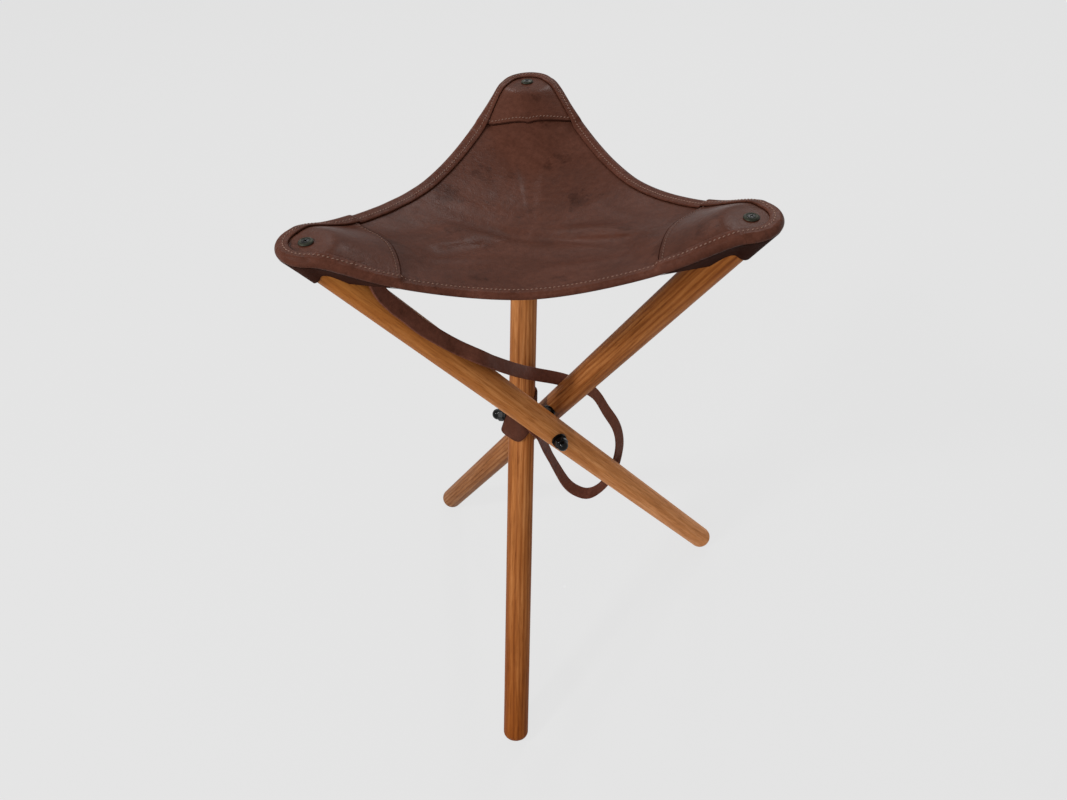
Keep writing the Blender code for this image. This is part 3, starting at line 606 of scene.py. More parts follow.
def make_leg(leg, azimuth):
    rings = leg_rings()
    seed = Vector((17.0 * azimuth, 3.0, 5.0))
    for ring in rings[FOOT_RINGS - 1 : -TOP_RINGS]:
        for point in ring:
            spot = Vector((point[0] * WANDER_ROUND, point[1] * WANDER_ROUND, point[2] * WANDER_ALONG))
            point[:2] *= 1 + WANDER * noise.noise(spot + seed) / LEG_RADIUS
    space = leg_space(azimuth)
    up = np.array(space.to_3x3().inverted() @ Vector((0, 0, 1)))
    heights = np.array([[(space @ Vector(point)).z for point in ring] for ring in rings])
    rings -= np.minimum(heights, 0)[..., None] * up
    skin = Skin().grid(rings, outward(rings), wrap=True)
    skin.fan(rings[0], np.array((0, 0, -1.0)))
    dowel = skin.piece(f"oak_leg_{leg}", oak_of[leg])
    dowel.matrix_world = space
    dress(dowel, f"leg_{leg}")
    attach(dowel, f"leg_{leg}")
    return dowel


dowels = [make_leg(leg, azimuth) for leg, azimuth in zip(LEGS, AZIMUTHS)]
print("legs", [thing.name for thing in dowels])

# %% [markdown]
# ## The pivot
# A three-way bolt sits between the legs, and on each of its studs a leg turns between two washers, under a
# domed cap nut. The bolt and the washers keep their solids and only take a finish. The cap nuts catch small
# sharp highlights, so they are made again with finer faces and rounded edges: a hexagon that runs into a
# round collar and a dome, ring by ring.

# %% Make the cap nuts and finish the hidden hardware
NUT_FLATS = 0.013
NUT_HEX = 0.0062
NUT_HEIGHT = 0.0130
NUT_SIDES = 72
NUT_TURN = 0.2
DOME_INSET = 0.0006
DOME_RINGS = 12
WASHER_OUT = 0.002
GAP = 0.0003


def lathe(profile, sides):
    """Rings of points round Z for a profile of (radius, height) points."""
    turns = full_turn(sides)
    return np.array([[(r * math.cos(t), r * math.sin(t), z) for t in turns] for r, z in profile])


def nut_rings():
    turns = full_turn(NUT_SIDES)
    half = NUT_FLATS / 2
    corner = half / math.cos(math.pi / 6)
    dome = half - DOME_INSET
    hexagon = half / np.cos(turns % (math.pi / 3) - math.pi / 6)
    levels = [(half * 0.97, 0.0), (half * 1.02, 0.0003), (corner, 0.0010), (corner, NUT_HEX - 0.0012)]
    levels += [(half * 1.04, NUT_HEX - 0.0003), (half * 0.98, NUT_HEX), (dome, NUT_HEX + 0.0003)]
    for step in range(1, DOME_RINGS + 1):
        angle = math.pi / 2 * step / (DOME_RINGS + 0.2)
        levels.append((dome * math.cos(angle), NUT_HEIGHT - dome + dome * math.sin(angle)))
    rings = []
    for limit, height in levels:
        reach = np.minimum(hexagon, limit)
        rings.append(np.stack([reach * np.cos(turns), reach * np.sin(turns), np.full(NUT_SIDES, height)], 1))
    return np.array(rings)


def solid_of_rings(name, rings, material):
    skin = Skin().grid(rings, outward(rings), wrap=True)
    skin.fan(rings[-1], np.array((0, 0, 1.0)))
    skin.fan(rings[0], np.array((0, 0, -1.0)))
    return skin.piece(name, material)


for leg, azimuth in zip(LEGS, AZIMUTHS):
    seat = PIVOT_OFFSET + LEG_RADIUS + GAP + (STRAP_THICKNESS + GAP if leg == "c" else 0) + WASHER_OUT + GAP
    nut = solid_of_rings(f"domed_nut_{leg}", nut_rings(), enamel)
    place = leg_frame(azimuth) @ Matrix.Translation((0, seat, 0))
    nut.matrix_world = place @ Matrix.Rotation(-math.pi / 2, 4, "X") @ Matrix.Rotation(NUT_TURN, 4, "Z")
    dress(nut, f"cap_nut_{leg}")
    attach(nut, "hub")
for name in ["three_way_bolt"] + [f"{kind}_washer_{leg}" for kind in ("inner", "outer") for leg in LEGS]:
    frame["nodes"][name].data.materials.clear()
    frame["nodes"][name].data.materials.append(steel)
print("nuts stand", round(seat * 1000, 1), "mm from the pivot on leg c")

# %% [markdown]
# ## The band round the rear leg
# The strap ends in a darker band of leather round leg c, low in front and high behind, held by the stud and
# its nut. It is the strap's section swept once round the leg and then closed on itself. Under the nut its
# lower edge droops and stands off the wood in a small worn tab.

# %% Wrap the band round leg c
LOOP_RISE = 0.018
LOOP_TILT = 0.012
LOOP_DROOP = 0.0165
LOOP_DROOP_TURN = math.radians(105)
LOOP_DROOP_SPREAD = math.radians(70)
LOOP_FLARE = 0.0065
LOOP_FLARE_TURN = math.radians(26)
LOOP_FLARE_SPREAD = math.radians(24)
LOOP_STEPS = 120


def bell(value, middle, width):
    return math.exp(-(((value - middle) / width) ** 2))


def make_band():
    turns = np.linspace(0, 2 * math.pi, LOOP_STEPS + 1)
    middle = LEG_RADIUS + GAP + STRAP_THICKNESS / 2
    sections = []
    for turn in turns:
        climb = LOOP_RISE * (1 - math.cos(turn)) / 2 - LOOP_TILT * math.sin(turn)
        droop = LOOP_DROOP * bell(turn, LOOP_DROOP_TURN, LOOP_DROOP_SPREAD)
        flare = LOOP_FLARE * bell(turn, LOOP_FLARE_TURN, LOOP_FLARE_SPREAD)
        away = np.array((-math.sin(turn), math.cos(turn), 0))
        section = []
        for x, y in strap_outline:
            down = 0.5 - x / STRAP_WIDTH
            section.append(away * (middle + y + flare * down**2) + (0, 0, climb + x - droop * down))
        sections.append(section)
    sections = np.array(sections)
    band = Skin().grid(sections, outward(sections), wrap=True).piece("strap_band_round_leg", hide_leather)
    band.matrix_world = leg_space(AZIMUTHS[2])
    dress(band, "strap_loop")
    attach(band, "leg_c")
    return band


band = make_band()
print("band round leg c", len(band.data.vertices), "points")

# %% [markdown]
# ## The shape of the hide
# Every piece of the seat follows one surface. Seen from above it is a rounded triangle whose sides bow in.
# Its height is a bowl that sags between the corners, joined smoothly to a small tent over each leg top. A
# few soft pulls run from the corners towards the middle, and one broad low ridge from each front corner, as
# in any hide that has been sat on. Writing the surface as a function lets the panel, the binding, the patches
# and the stitches all be laid on it, at any fineness.

# %% Write the hide as a height over the plan
CORNER_HEIGHT = 0.280
TIP_RADIUS = 0.0288
TIP_BEYOND_SCREW = 0.0234
EDGE_BOW = 0.0074
EDGE_MIDDLES = np.array([0.2375, 0.2400, 0.2490])
EDGE_SAG_POWER = 1.79
EDGE_EASE = 0.04
CENTRE_HEIGHT = 0.223
BOWL_POWER = 1.9
TENT_SLOPE = 0.60
TENT_REACH = 0.024
TENT_SOFTNESS = 0.004
TENT_BLEND = 0.003
SCREW_INSET = 0.0030
TOP_OUT = LEG_TOP * math.tan(LEAN)
SCREW_OUT = TOP_OUT - SCREW_INSET
CORNER_ANGLES = AZIMUTHS + math.atan2(PIVOT_OFFSET, SCREW_OUT)
TIP_CENTRE = math.hypot(SCREW_OUT, PIVOT_OFFSET) + TIP_BEYOND_SCREW - TIP_RADIUS
THIRD = math.radians(60)
EDGE_HALF = TIP_CENTRE * math.sin(THIRD)
EDGE_AWAY = TIP_CENTRE * math.cos(THIRD) + TIP_RADIUS
OUTS = np.stack([np.cos(CORNER_ANGLES), np.sin(CORNER_ANGLES)], 1)
LEG_TOPS = np.stack([
    TOP_OUT * np.cos(AZIMUTHS) - PIVOT_OFFSET * np.sin(AZIMUTHS),
    TOP_OUT * np.sin(AZIMUTHS) + PIVOT_OFFSET * np.cos(AZIMUTHS),
], 1)


def bowed_in(along):
    return EDGE_BOW * (1 - along**2) ** 2


def split_by_corner(plan):
    """Nearest corner of plan points, with their distances along and across its middle line."""
    corner = (plan @ OUTS.T).argmax(-1)
    out = OUTS[corner]
    return corner, (plan * out).sum(-1), plan[..., 1] * out[..., 0] - plan[..., 0] * out[..., 1]


def bowl_and_tent(plan):
    corner, ahead, across = split_by_corner(plan)
    middle = EDGE_MIDDLES[np.where(across >= 0, corner, (corner - 1) % 3)]
    turn = np.abs(np.arctan2(across, ahead))
    tip_turn = math.atan2(TIP_RADIUS * math.sin(THIRD), TIP_CENTRE + TIP_RADIUS * math.cos(THIRD))
    inside = np.maximum(TIP_RADIUS**2 - (TIP_CENTRE * np.sin(turn)) ** 2, 0)
    along = np.minimum(1.0, np.abs(EDGE_AWAY * np.tan(THIRD - turn) / EDGE_HALF))
    eased = np.hypot(1 - along**EDGE_SAG_POWER, EDGE_EASE) - EDGE_EASE
    drop = eased / (math.hypot(1, EDGE_EASE) - EDGE_EASE)
    at_tip = turn <= tip_turn
    rim = np.where(at_tip, CORNER_HEIGHT, CORNER_HEIGHT - drop * (CORNER_HEIGHT - middle))
    tip_reach = TIP_CENTRE * np.cos(turn) + np.sqrt(inside)
    reach = np.where(at_tip, tip_reach, (EDGE_AWAY - bowed_in(along)) / np.cos(THIRD - turn))
    bowl = CENTRE_HEIGHT + (rim - CENTRE_HEIGHT) * (np.linalg.norm(plan, axis=-1) / reach) ** BOWL_POWER
    past = np.linalg.norm(plan - LEG_TOPS[corner], axis=-1) - TENT_REACH
    tent = CORNER_HEIGHT - TENT_SLOPE * (past + np.hypot(past, TENT_SOFTNESS)) / 2
    return (bowl + tent + np.hypot(bowl - tent, TENT_BLEND)) / 2


PULL_HEIGHT = 0.0009
PULL_WIDTH = 0.0060
PULLS = ((-0.30, 1.0), (-0.08, 0.8), (0.16, 1.1), (0.36, 0.8))
PULL_SHARES = np.array([0.9, 0.9, 0.35])
PULL_FADE = (0.16, 0.25, 0.80, 0.22)
RIDGE_HEIGHT = 0.0030
RIDGE_WIDTH = 0.016
RIDGE_SLANTS = np.array([-0.12, 0.12, 0.0])
RIDGE_SHARES = np.array([1.0, 1.0, 0.0])
RIDGE_FADE = (0.10, 0.22, 0.72, 0.30)
WAVE_HEIGHT = 0.9
WAVE_REACH = 0.11


def fade_between(share, start, rise, stop, fall):
    """One between two places and nothing outside them, with soft ends."""
    return np.clip((share - start) / rise, 0, 1) * np.clip((stop - share) / fall, 0, 1)


def soft_pulls(plan):
    """Low ridges that run from each corner towards the middle, and faint waves in the middle."""
    corner, ahead, across = split_by_corner(plan)
    share = ahead / TIP_CENTRE
    height = np.zeros_like(ahead)
    for slant, strength in PULLS:
        line = slant * (TIP_CENTRE - ahead) * (1 + 0.12 * np.sin(5 * share + 3 * corner + 9 * slant))
        height += strength * np.exp(-(((across - line) / PULL_WIDTH) ** 2))
    height *= PULL_SHARES[corner]
    crest = np.exp(-(((across - RIDGE_SLANTS[corner] * (TIP_CENTRE - ahead)) / RIDGE_WIDTH) ** 2))
    ridge = RIDGE_HEIGHT * RIDGE_SHARES[corner] * crest * fade_between(share, *RIDGE_FADE)
    waves = np.sin(41 * plan[..., 0] + 9 * np.sin(23 * plan[..., 1])) * np.sin(37 * plan[..., 1] + 2)
    inner = np.clip(1.25 - np.linalg.norm(plan, axis=-1) / WAVE_REACH, 0, 1)
    return PULL_HEIGHT * (height * fade_between(share, *PULL_FADE) + WAVE_HEIGHT * waves * inner) + ridge


def hide_height(plan):
    return bowl_and_tent(plan) + soft_pulls(plan)


SLOPE_STEP = 0.0005


def on_hide(plan, lift):
    """Points lifted off the hide's middle along its normal, and the normals, in the stool's space."""
    east, north = np.array((SLOPE_STEP, 0)), np.array((0, SLOPE_STEP))
    rise_x = hide_height(plan + east) - hide_height(plan - east)
    rise_y = hide_height(plan + north) - hide_height(plan - north)
    normal = unit(np.stack([-rise_x, -rise_y, np.full(rise_x.shape, 2 * SLOPE_STEP)], -1))
    point = np.concatenate([plan, hide_height(plan)[..., None]], -1)
    return point + normal * np.asarray(lift)[..., None] + PIVOT, normal


print("hide height at its middle", round(float(hide_height(np.zeros((1, 2)))[0] + PIVOT[2]), 4))

# %% [markdown]
# ## The lattice of the hide
# A square grid would end in steps along the curved edge. Instead the hide is three kites that meet in its
# middle, one for each corner, with rows v from the middle (0) to the rounded tip (1) and columns w from one
# edge (-1) to the other (1), so its outer rows follow the edge exactly.

# %% Place rows and columns on the hide


def edge_point(side, along, inset):
    away = EDGE_AWAY - inset - bowed_in(along)
    x = away * math.cos(THIRD) + along * EDGE_HALF * math.sin(THIRD)
    y = side * (away * math.sin(THIRD) - along * EDGE_HALF * math.cos(THIRD))
    return np.stack([x, y], -1)


def tip_point(across, inset):
    radius = TIP_RADIUS - inset
    return np.stack([TIP_CENTRE + radius * np.cos(across * THIRD), radius * np.sin(across * THIRD)], -1)


def to_plan(corner, local):
    out = OUTS[corner]
    return local[..., :1] * out + local[..., 1:] * np.array((-out[1], out[0]))


def lattice(corner, v, w, inset):
    """Plan points at rows v and columns w of one corner's kite."""
    v, w = np.broadcast_arrays(np.asarray(v, float), np.asarray(w, float))
    side = np.where(w >= 0, 1.0, -1.0)
    middle, end = edge_point(side, np.zeros_like(v), inset), edge_point(side, np.ones_like(v), inset)
    reach, spread_out = v[..., None], np.abs(w)[..., None]
    straight = middle * spread_out * (1 - reach) + tip_point(w, inset) * reach
    bow = edge_point(side, v, inset) - (middle * (1 - reach) + end * reach)
    return to_plan(corner, straight + spread_out**3 * bow)


print("corner a tip at", (lattice(0, 1.0, 0.0, 0.0) + PIVOT[:2]).round(3))

# %% [markdown]
# ## How the hide folds
# When the legs swing upright, the hide can't follow them as one plate. Each third hangs from its leg top,
# folded flat beside the leg. So the hide is cut, unseen, into thirds, and each third into a tip, a few narrow
# pleats and the rest, and every piece rides on its own leg. The table gives each zone a share to keep, the
# tip most and each pleat a little less than the next, but nothing here flattens the pieces.

# %% Say how each zone of the hide moves
PLEAT_ROWS = [0.83, 0.80, 0.77, 0.74, 0.71, 0.68]
PLEAT_KEEPS = [0.52, 0.43, 0.33, 0.22, 0.11]
HANG_KEEP = 0.04
TIP_KEEP = 0.62
ZONES = [("tip", PLEAT_ROWS[0], 1.0, TIP_KEEP)]
ZONES += [(f"pleat{i}", PLEAT_ROWS[i + 1], PLEAT_ROWS[i], PLEAT_KEEPS[i]) for i in range(len(PLEAT_KEEPS))]
ZONES += [("hang", 0.0, PLEAT_ROWS[-1], HANG_KEEP)]


def move_with_leg(thing, corner):
    """Lets a piece of the hide ride on its leg."""
    leg, azimuth = LEGS[corner], AZIMUTHS[corner]
    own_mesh(thing)
    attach(thing, f"leg_{leg}")


def rows_between(low, high, step):
    return np.linspace(low, high, max(2, int(round((high - low) / step)) + 1))


print("zones of each third", [zone[0] for zone in ZONES])

# %% [markdown]
# ## The seat panel
# The panel is one hide, 2.4 mm thick. Each zone of each third gets an upper and a lower skin and the cut edge
# round its rim. The cut along the rim is hidden in the binding.

# %% Lay the seat panel
PANEL_THICKNESS = 0.0024
BINDING_THICKNESS = 0.0017
PANEL_INSET = 0.0025
ROW_STEP = 0.02
COLUMNS = np.linspace(-1, 1, 57)


def sheet_skin(corner, rows, columns, inset, lower, upper):
    """Upper and lower skins of a leather sheet, and the walls round it."""
    plan = lattice(corner, rows if rows.ndim == 2 else rows[:, None], columns[None, :], inset)
    skin = Skin()
    top, normal = on_hide(plan, np.broadcast_to(upper, plan.shape[:2]))
    low, _ = on_hide(plan, np.broadcast_to(lower, plan.shape[:2]))
    skin.grid(top, normal)
    skin.grid(low, -normal)
    for edge in (np.s_[:, 0], np.s_[:, -1], np.s_[0, :], np.s_[-1, :]):
        wall = np.stack([top[edge], low[edge]], 0)
        facing = np.cross(np.gradient(top[edge], axis=0), normal[edge])
        away = top[edge] - top.reshape(-1, 3).mean(0)
        facing *= np.where((facing * away).sum(-1, keepdims=True) < 0, -1.0, 1.0)
        skin.grid(wall, np.stack([unit(facing)] * 2))
    return skin, top


def top_area(points):
    first, second = points[1:, :-1] - points[:-1, :-1], points[:-1, 1:] - points[:-1, :-1]
    return float(np.linalg.norm(np.cross(first, second), axis=-1).sum())


HALF_PANEL = PANEL_THICKNESS / 2
panel_area = 0.0
for corner in range(3):
    for zone, low, high, keep in ZONES:
        rows = rows_between(low, high, ROW_STEP)
        skin, top = sheet_skin(corner, rows, COLUMNS, PANEL_INSET, -HALF_PANEL, HALF_PANEL)
        hide = dress(skin.piece(f"hide_{LEGS[corner]}_{zone}", hide_leather), "seat_panel")
        panel_area += top_area(top)
        move_with_leg(hide, corner)
print("hide area in square metres", round(panel_area, 4))

# %% [markdown]
# ## The corner patches
# A second layer is sewn on top of each corner. Its inner edge is a round curve in front and nearly
# straight at the rear. The cut edge stands a little proud, so the first rows of its lattice step up from the
# panel in a soft bevel. It is rubbed dark and round, and a thin dark rim in the painted-shade leather is
# swept
# along it: partly that darker edge and partly a painted shadow line under the step.

# %% Lay the corner patches
PATCH_START = 0.60
PATCH_EDGES = (0.606, 0.611, 0.642)
PATCH_BULGE = (0.085, 0.085, 0.0)
PATCH_ROUNDING = (0.0, 0.0, 0.018)
ROUNDING_WIDTH = 0.34
PATCH_THICKNESS = 0.0018
PATCH_LOW = HALF_PANEL + GAP
PATCH_TOP = PATCH_LOW + PATCH_THICKNESS
PATCH_SINK = 0.0002
PATCH_INSET = PANEL_INSET + 0.0006
PATCH_HANG_ROWS = 6
EDGE_ROWS = np.array([0.0, 0.0010, 0.0026, 0.0060])
EDGE_LIFTS = np.array([0.10, 0.78, 0.98, 1.0])
RIM_RADIUS = 0.0009
RIM_COLUMNS = np.linspace(-0.93, 0.93, 60)
RIM_TURNS = full_turn(8)


def patch_edge(corner, columns):
    """Row where a corner's patch begins, in each column: a full curve in front, nearly straight behind."""
    rounded = PATCH_ROUNDING[corner] * np.exp(-((columns / ROUNDING_WIDTH) ** 2))
    return PATCH_EDGES[corner] + rounded - PATCH_BULGE[corner] * (np.abs(columns) - columns**2)


def patch_rim(corner):
    """A dark round rim along the cut edge of a corner's patch, partly its darker edge and partly a painted
    shadow line.
    """
    plan = lattice(corner, patch_edge(corner, RIM_COLUMNS), RIM_COLUMNS, PATCH_INSET)
    line, normals = on_hide(plan, np.full(len(RIM_COLUMNS), PATCH_LOW + RIM_RADIUS))
    sides = unit(np.cross(normals, np.gradient(line, axis=0)))
    rings = [RIM_RADIUS * (sides * math.cos(t) + normals * math.sin(t)) + line for t in RIM_TURNS]
    return swept(np.stack(rings, 1)).piece(f"patch_rim_{LEGS[corner]}", painted_shade_leather)


for corner in range(3):
    for zone, low, high, keep in ZONES:
        rows = np.repeat(rows_between(low, high, ROW_STEP / 2)[:, None], len(COLUMNS), 1)
        lifts = PATCH_TOP
        if zone == "hang":
            bevel = patch_edge(corner, COLUMNS)[None, :] + EDGE_ROWS[:, None]
            share = np.linspace(0, 1, PATCH_HANG_ROWS)[1:, None]
            rows = np.concatenate([bevel, bevel[-1:] + (high - bevel[-1:]) * share])
            lifts = np.full(rows.shape, PATCH_TOP)
            lifts[: len(EDGE_ROWS)] = (PATCH_LOW + EDGE_LIFTS * PATCH_THICKNESS)[:, None]
        skin, _ = sheet_skin(corner, rows, COLUMNS, PATCH_INSET, PATCH_LOW - PATCH_SINK, lifts)
        layers = [skin.piece(f"patch_{LEGS[corner]}_{zone}", hide_leather)]
        if zone == "hang":
            layers.append(patch_rim(corner))
        for layer in layers:
            dress(layer, f"corner_patch_{LEGS[corner]}")
            move_with_leg(layer, corner)
print("patches reach in to", PATCH_EDGES, "of each third")

# %% [markdown]
# ## The binding
# A strip of leather is folded over the edge of the hide and sewn down. Its section is a flattened U: a flat
# band on top, a full round outside and a narrow return underneath. It climbs a step where a corner patch runs
# in under it. The section is swept along both edges and round the tip of each corner, and the sweep is cut
# into the same zones as the hide.

# %% Fold the binding over the edge
BINDING_WIDTH = 0.0108
UNDER_WIDTH = 0.0030
BINDING_GAP = 0.0008
BINDING_ROUND = 0.0030
BINDING_SWELL = 0.00018
BINDING_LIP = 0.0003
UNDER_GAP = 0.0002
FLAT_POINTS = 6
ROUND_POINTS = 12
STEP_ROWS = (-0.022, 0.002)
EDGE_STEP = 0.01
TIP_STEPS = 28
ROW_SLACK = 1e-6


def patch_share(corner, v):
    t = np.clip((v - PATCH_EDGES[corner] - STEP_ROWS[0]) / (STEP_ROWS[1] - STEP_ROWS[0]), 0, 1)
    return t * t * (3 - 2 * t)


def binding_top(corner, v):
    """Lift of the binding's upper face over the hide's middle."""
    plain = HALF_PANEL + BINDING_GAP * 0.25
    raised = PATCH_TOP + BINDING_GAP * 0.2
    return float(plain + (raised - plain) * patch_share(corner, v) + BINDING_THICKNESS)


def binding_section(corner, v):
    """Closed section as (inset, lift) points for a station at row v."""
    top = binding_top(corner, v)
    slot_top, bottom = top - BINDING_THICKNESS, -HALF_PANEL - BINDING_GAP * 0.5 - BINDING_THICKNESS
    middle, tall = (top + bottom) / 2, (top - bottom) / 2
    deep = min(tall, BINDING_ROUND)
    points = [(BINDING_WIDTH, slot_top - BINDING_LIP), (BINDING_WIDTH + 0.0001, top - 0.0006)]
    points.append((BINDING_WIDTH - 0.0005, top - 0.0001))
    for inset in np.linspace(BINDING_WIDTH - 0.0018, deep, FLAT_POINTS):
        points.append((inset, top + BINDING_SWELL * math.sin(math.pi * inset / BINDING_WIDTH)))
    for step in range(1, ROUND_POINTS):
        turn = math.pi * step / ROUND_POINTS
        points.append((deep * (1 - math.sin(turn)), middle + tall * math.cos(turn)))
    under, inside = deep + UNDER_WIDTH * 0.5, -HALF_PANEL - UNDER_GAP
    points += [(deep, bottom), (under, bottom + 0.0002), (under, inside)]
    points += [(BINDING_THICKNESS, inside), (BINDING_THICKNESS, slot_top - BINDING_LIP)]
    return np.array(points)


def corner_stations(low):
    """Stations (side, value, v) up one edge from row low, round the tip and down the other edge."""
    up = rows_between(low, 1.0, EDGE_STEP)
    arc = np.linspace(-1, 1, TIP_STEPS + 1)[1:-1]
    stations = [(-1, v, v) for v in up]
    stations += [(0, a, 1.0) for a in arc]
    stations += [(1, v, v) for v in up[::-1]]
    return stations


def station_plan(corner, station, insets):
    """Plan points at a station, at given distances in from the edge."""
    side, value, _ = station
    values = np.full(len(insets), value)
    if side == 0:
        return to_plan(corner, tip_point(values, insets))
    return to_plan(corner, edge_point(np.full(len(insets), float(side)), values, insets))


def along_edge(corner, stations, sections):
    """Points and normals on the hide for a section of (inset, lift) points at each station."""
    points, normals = [], []
    for station, section in zip(stations, sections):
        insets, lifts = np.transpose(section)
        spots, looks = on_hide(station_plan(corner, station, insets), lifts)
        points.append(spots)
        normals.append(looks)
    return np.array(points), np.array(normals)


def runs_in_zone(stations, low, high):
    """Stretches of neighbouring stations whose row lies in a zone."""
    runs, run = [], []
    for index, (_, _, v) in enumerate(stations):
        if low - ROW_SLACK <= v <= high + ROW_SLACK:
            run.append(index)
        elif run:
            runs.append(run)
            run = []
    return [r for r in runs + [run] if len(r) > 1]


stations = corner_stations(0.0)
for corner in range(3):
    rings, _ = along_edge(corner, stations, [binding_section(corner, v) for _, _, v in stations])
    normals = outward(rings)
    for zone, low, high, keep in ZONES:
        skin = Skin()
        for run in runs_in_zone(stations, low, high):
            skin.grid(rings[run], normals[run], wrap=True)
        strip = skin.piece(f"binding_{LEGS[corner]}_{zone}", edge_leather)
        move_with_leg(dress(strip, "edge_binding"), corner)
print("binding stations on each corner", len(stations))

# %% [markdown]
# ## The pockets
# Under each corner a piece of leather runs down from the binding and hugs the leg, so that the leg's end sits
# in a pocket. Its upper edge follows the seat's rim, its lower edge is a scoop round the leg, and the wall
# between them is filled in straight.

# %% Hang the pockets under the corners
POCKET_THICKNESS = 0.0016
POCKET_DEPTH = 0.027
POCKET_ARM_DEPTH = 0.004
POCKET_INSET = 0.0013
POCKET_LEG_GAP = 0.0005
POCKET_WRAP = math.radians(104)
POCKET_DROP = HALF_PANEL + BINDING_THICKNESS
POCKET_ROWS = 10
POCKET_SLACK = 0.001


def turn_points(points, angle):
    """Points turned about the vertical through the origin."""
    c, s = math.cos(angle), math.sin(angle)
    return points @ np.array([(c, s, 0), (-s, c, 0), (0, 0, 1)])


def pocket_tops(corner, stations, inset):
    """Upper edge of a pocket in its leg's frame, and the angles round the leg."""
    tops, _ = along_edge(corner, stations, [[(inset, -POCKET_DROP)]] * len(stations))
    tops = turn_points(tops[:, 0] - PIVOT, -AZIMUTHS[corner])
    out = (tops[:, 0] - tops[:, 2] * math.tan(LEAN)) * math.cos(LEAN)
    return tops, np.arctan2(tops[:, 1] - PIVOT_OFFSET, out)


def pocket_wall(corner, stations, wall, widest):
    tops, angles = pocket_tops(corner, stations, POCKET_INSET + POCKET_THICKNESS - wall)
    share = 1 - (angles / widest) ** 2
    mouth = tops[:, 2] - POCKET_ARM_DEPTH - (POCKET_DEPTH - POCKET_ARM_DEPTH) * share
    radius = LEG_RADIUS + POCKET_LEG_GAP + wall
    turn = angles * min(1.0, POCKET_WRAP / widest)
    low = np.stack([
        mouth * math.tan(LEAN) + radius * np.cos(turn) / math.cos(LEAN),
        PIVOT_OFFSET + radius * np.sin(turn),
        mouth,
    ], 1)
    sweep = np.linspace(0, 1, POCKET_ROWS)
    wall_points = tops[:, None] * (1 - sweep)[None, :, None] + low[:, None] * sweep[None, :, None]
    return turn_points(wall_points, AZIMUTHS[corner]) + PIVOT


pocket_stations = corner_stations(PATCH_START)
for corner in range(3):
    widest = np.abs(pocket_tops(corner, pocket_stations, POCKET_INSET)[1]).max() + POCKET_SLACK
    outer = pocket_wall(corner, pocket_stations, POCKET_THICKNESS, widest)
    inner = pocket_wall(corner, pocket_stations, 0.0, widest)
    outer_normals, inner_normals = grid_normals(outer, False), grid_normals(inner, False)
    at_tip = outer_normals[len(pocket_stations) // 2, POCKET_ROWS // 2]
    sign = 1.0 if at_tip[:2] @ OUTS[corner] > 0 else -1.0
    for zone, low, high, keep in ZONES:
        skin = Skin()
        for run in runs_in_zone(pocket_stations, max(low, PATCH_START), high):
            skin.grid(outer[run], sign * outer_normals[run])
            skin.grid(inner[run], -sign * inner_normals[run])
            lip = np.stack([outer[run][:, -1], inner[run][:, -1]], 1)
            skin.grid(lip, np.tile((0, 0, -1.0), (len(run), 2, 1)))
        # The pockets wear the darker leather as a painted shade for the shade under each corner.
        pocket = skin.piece(f"pocket_{LEGS[corner]}_{zone}", painted_shade_leather)
        move_with_leg(dress(pocket, f"corner_pocket_{LEGS[corner]}"), corner)
print("pockets hug the legs over", round(math.degrees(2 * POCKET_WRAP)), "degrees")

# %% [markdown]
# ## The stitches
# Pale waxed thread shows as a row of short slanted dashes, one every 3.4 mm. A dashed texture would look flat
# up close, so each stitch is a small swollen bead of thread whose ends dive into the leather. One row runs
# round the binding near its inner edge and one follows the inner edge of each patch.

# %% Sew the binding and the patches
STITCH_PITCH = 0.0034
STITCH_LENGTH = 0.0024
STITCH_RADIUS = 0.00046
STITCH_END = 0.06
STITCH_LIFT = 0.00012
STITCH_DIVE = 0.00050
STITCH_SLANT = math.radians(18)
STITCH_RINGS = 6
STITCH_SIDES = 7
SEAM_LIFT = 0.00020
SEAM_COLUMNS = np.linspace(-0.925, 0.925, 140)
BINDING_SEAM = 0.0069
PATCH_SEAM = 0.0165


def stitch(middle, ahead, normal):
    """Rings of one stitch: a bead along ahead that sinks at both ends."""
    side = np.cross(normal, ahead)
    ahead = math.cos(STITCH_SLANT) * ahead + math.sin(STITCH_SLANT) * side
    side = np.cross(normal, ahead)
    turns = full_turn(STITCH_SIDES)
    rings = []
    for step in range(STITCH_RINGS):
        s = 2 * step / (STITCH_RINGS - 1) - 1
        radius = STITCH_RADIUS * math.sqrt(max(STITCH_END, 1 - s**4))
        sink = STITCH_LIFT - STITCH_DIVE * s**4
        centre = middle + ahead * s * STITCH_LENGTH / 2 + normal * sink
        rings.append([centre + radius * (side * math.cos(t) + normal * math.sin(t)) for t in turns])
    return np.array(rings)


def even_spots(points, pitch):
    """Places, as fractional indexes, at an even pitch along a line of points."""
    lengths = lengths_along(points)
    count = int(lengths[-1] / pitch)
    return np.interp((np.arange(count) + 0.5) * lengths[-1] / count, lengths, np.arange(len(points)))


def sew(name, corner, points, normals, rows, finish):
    """Stitches along a line, gathered into one piece for each zone of the hide."""
    spots = even_spots(points, STITCH_PITCH)
    index = np.arange(len(points))
    lines = (points, normals, np.gradient(points, axis=0))
    places, looks, ways = (read_at(spots, index, values) for values in lines)
    at_row = np.interp(spots, index, rows)
    count = 0
    for zone, low, high, keep in ZONES:
        skin = Skin()
        for place, look, way, row in zip(places, looks, ways, at_row):
            if low <= row < high or (zone == "tip" and row >= high):
                rings = stitch(place, unit(way), unit(look))
                skin.grid(rings, outward(rings), wrap=True)
                count += 1
        if skin.faces:
            seam = skin.piece(f"{name}_{LEGS[corner]}_{zone}", finish)
            move_with_leg(seam, corner)
    return count


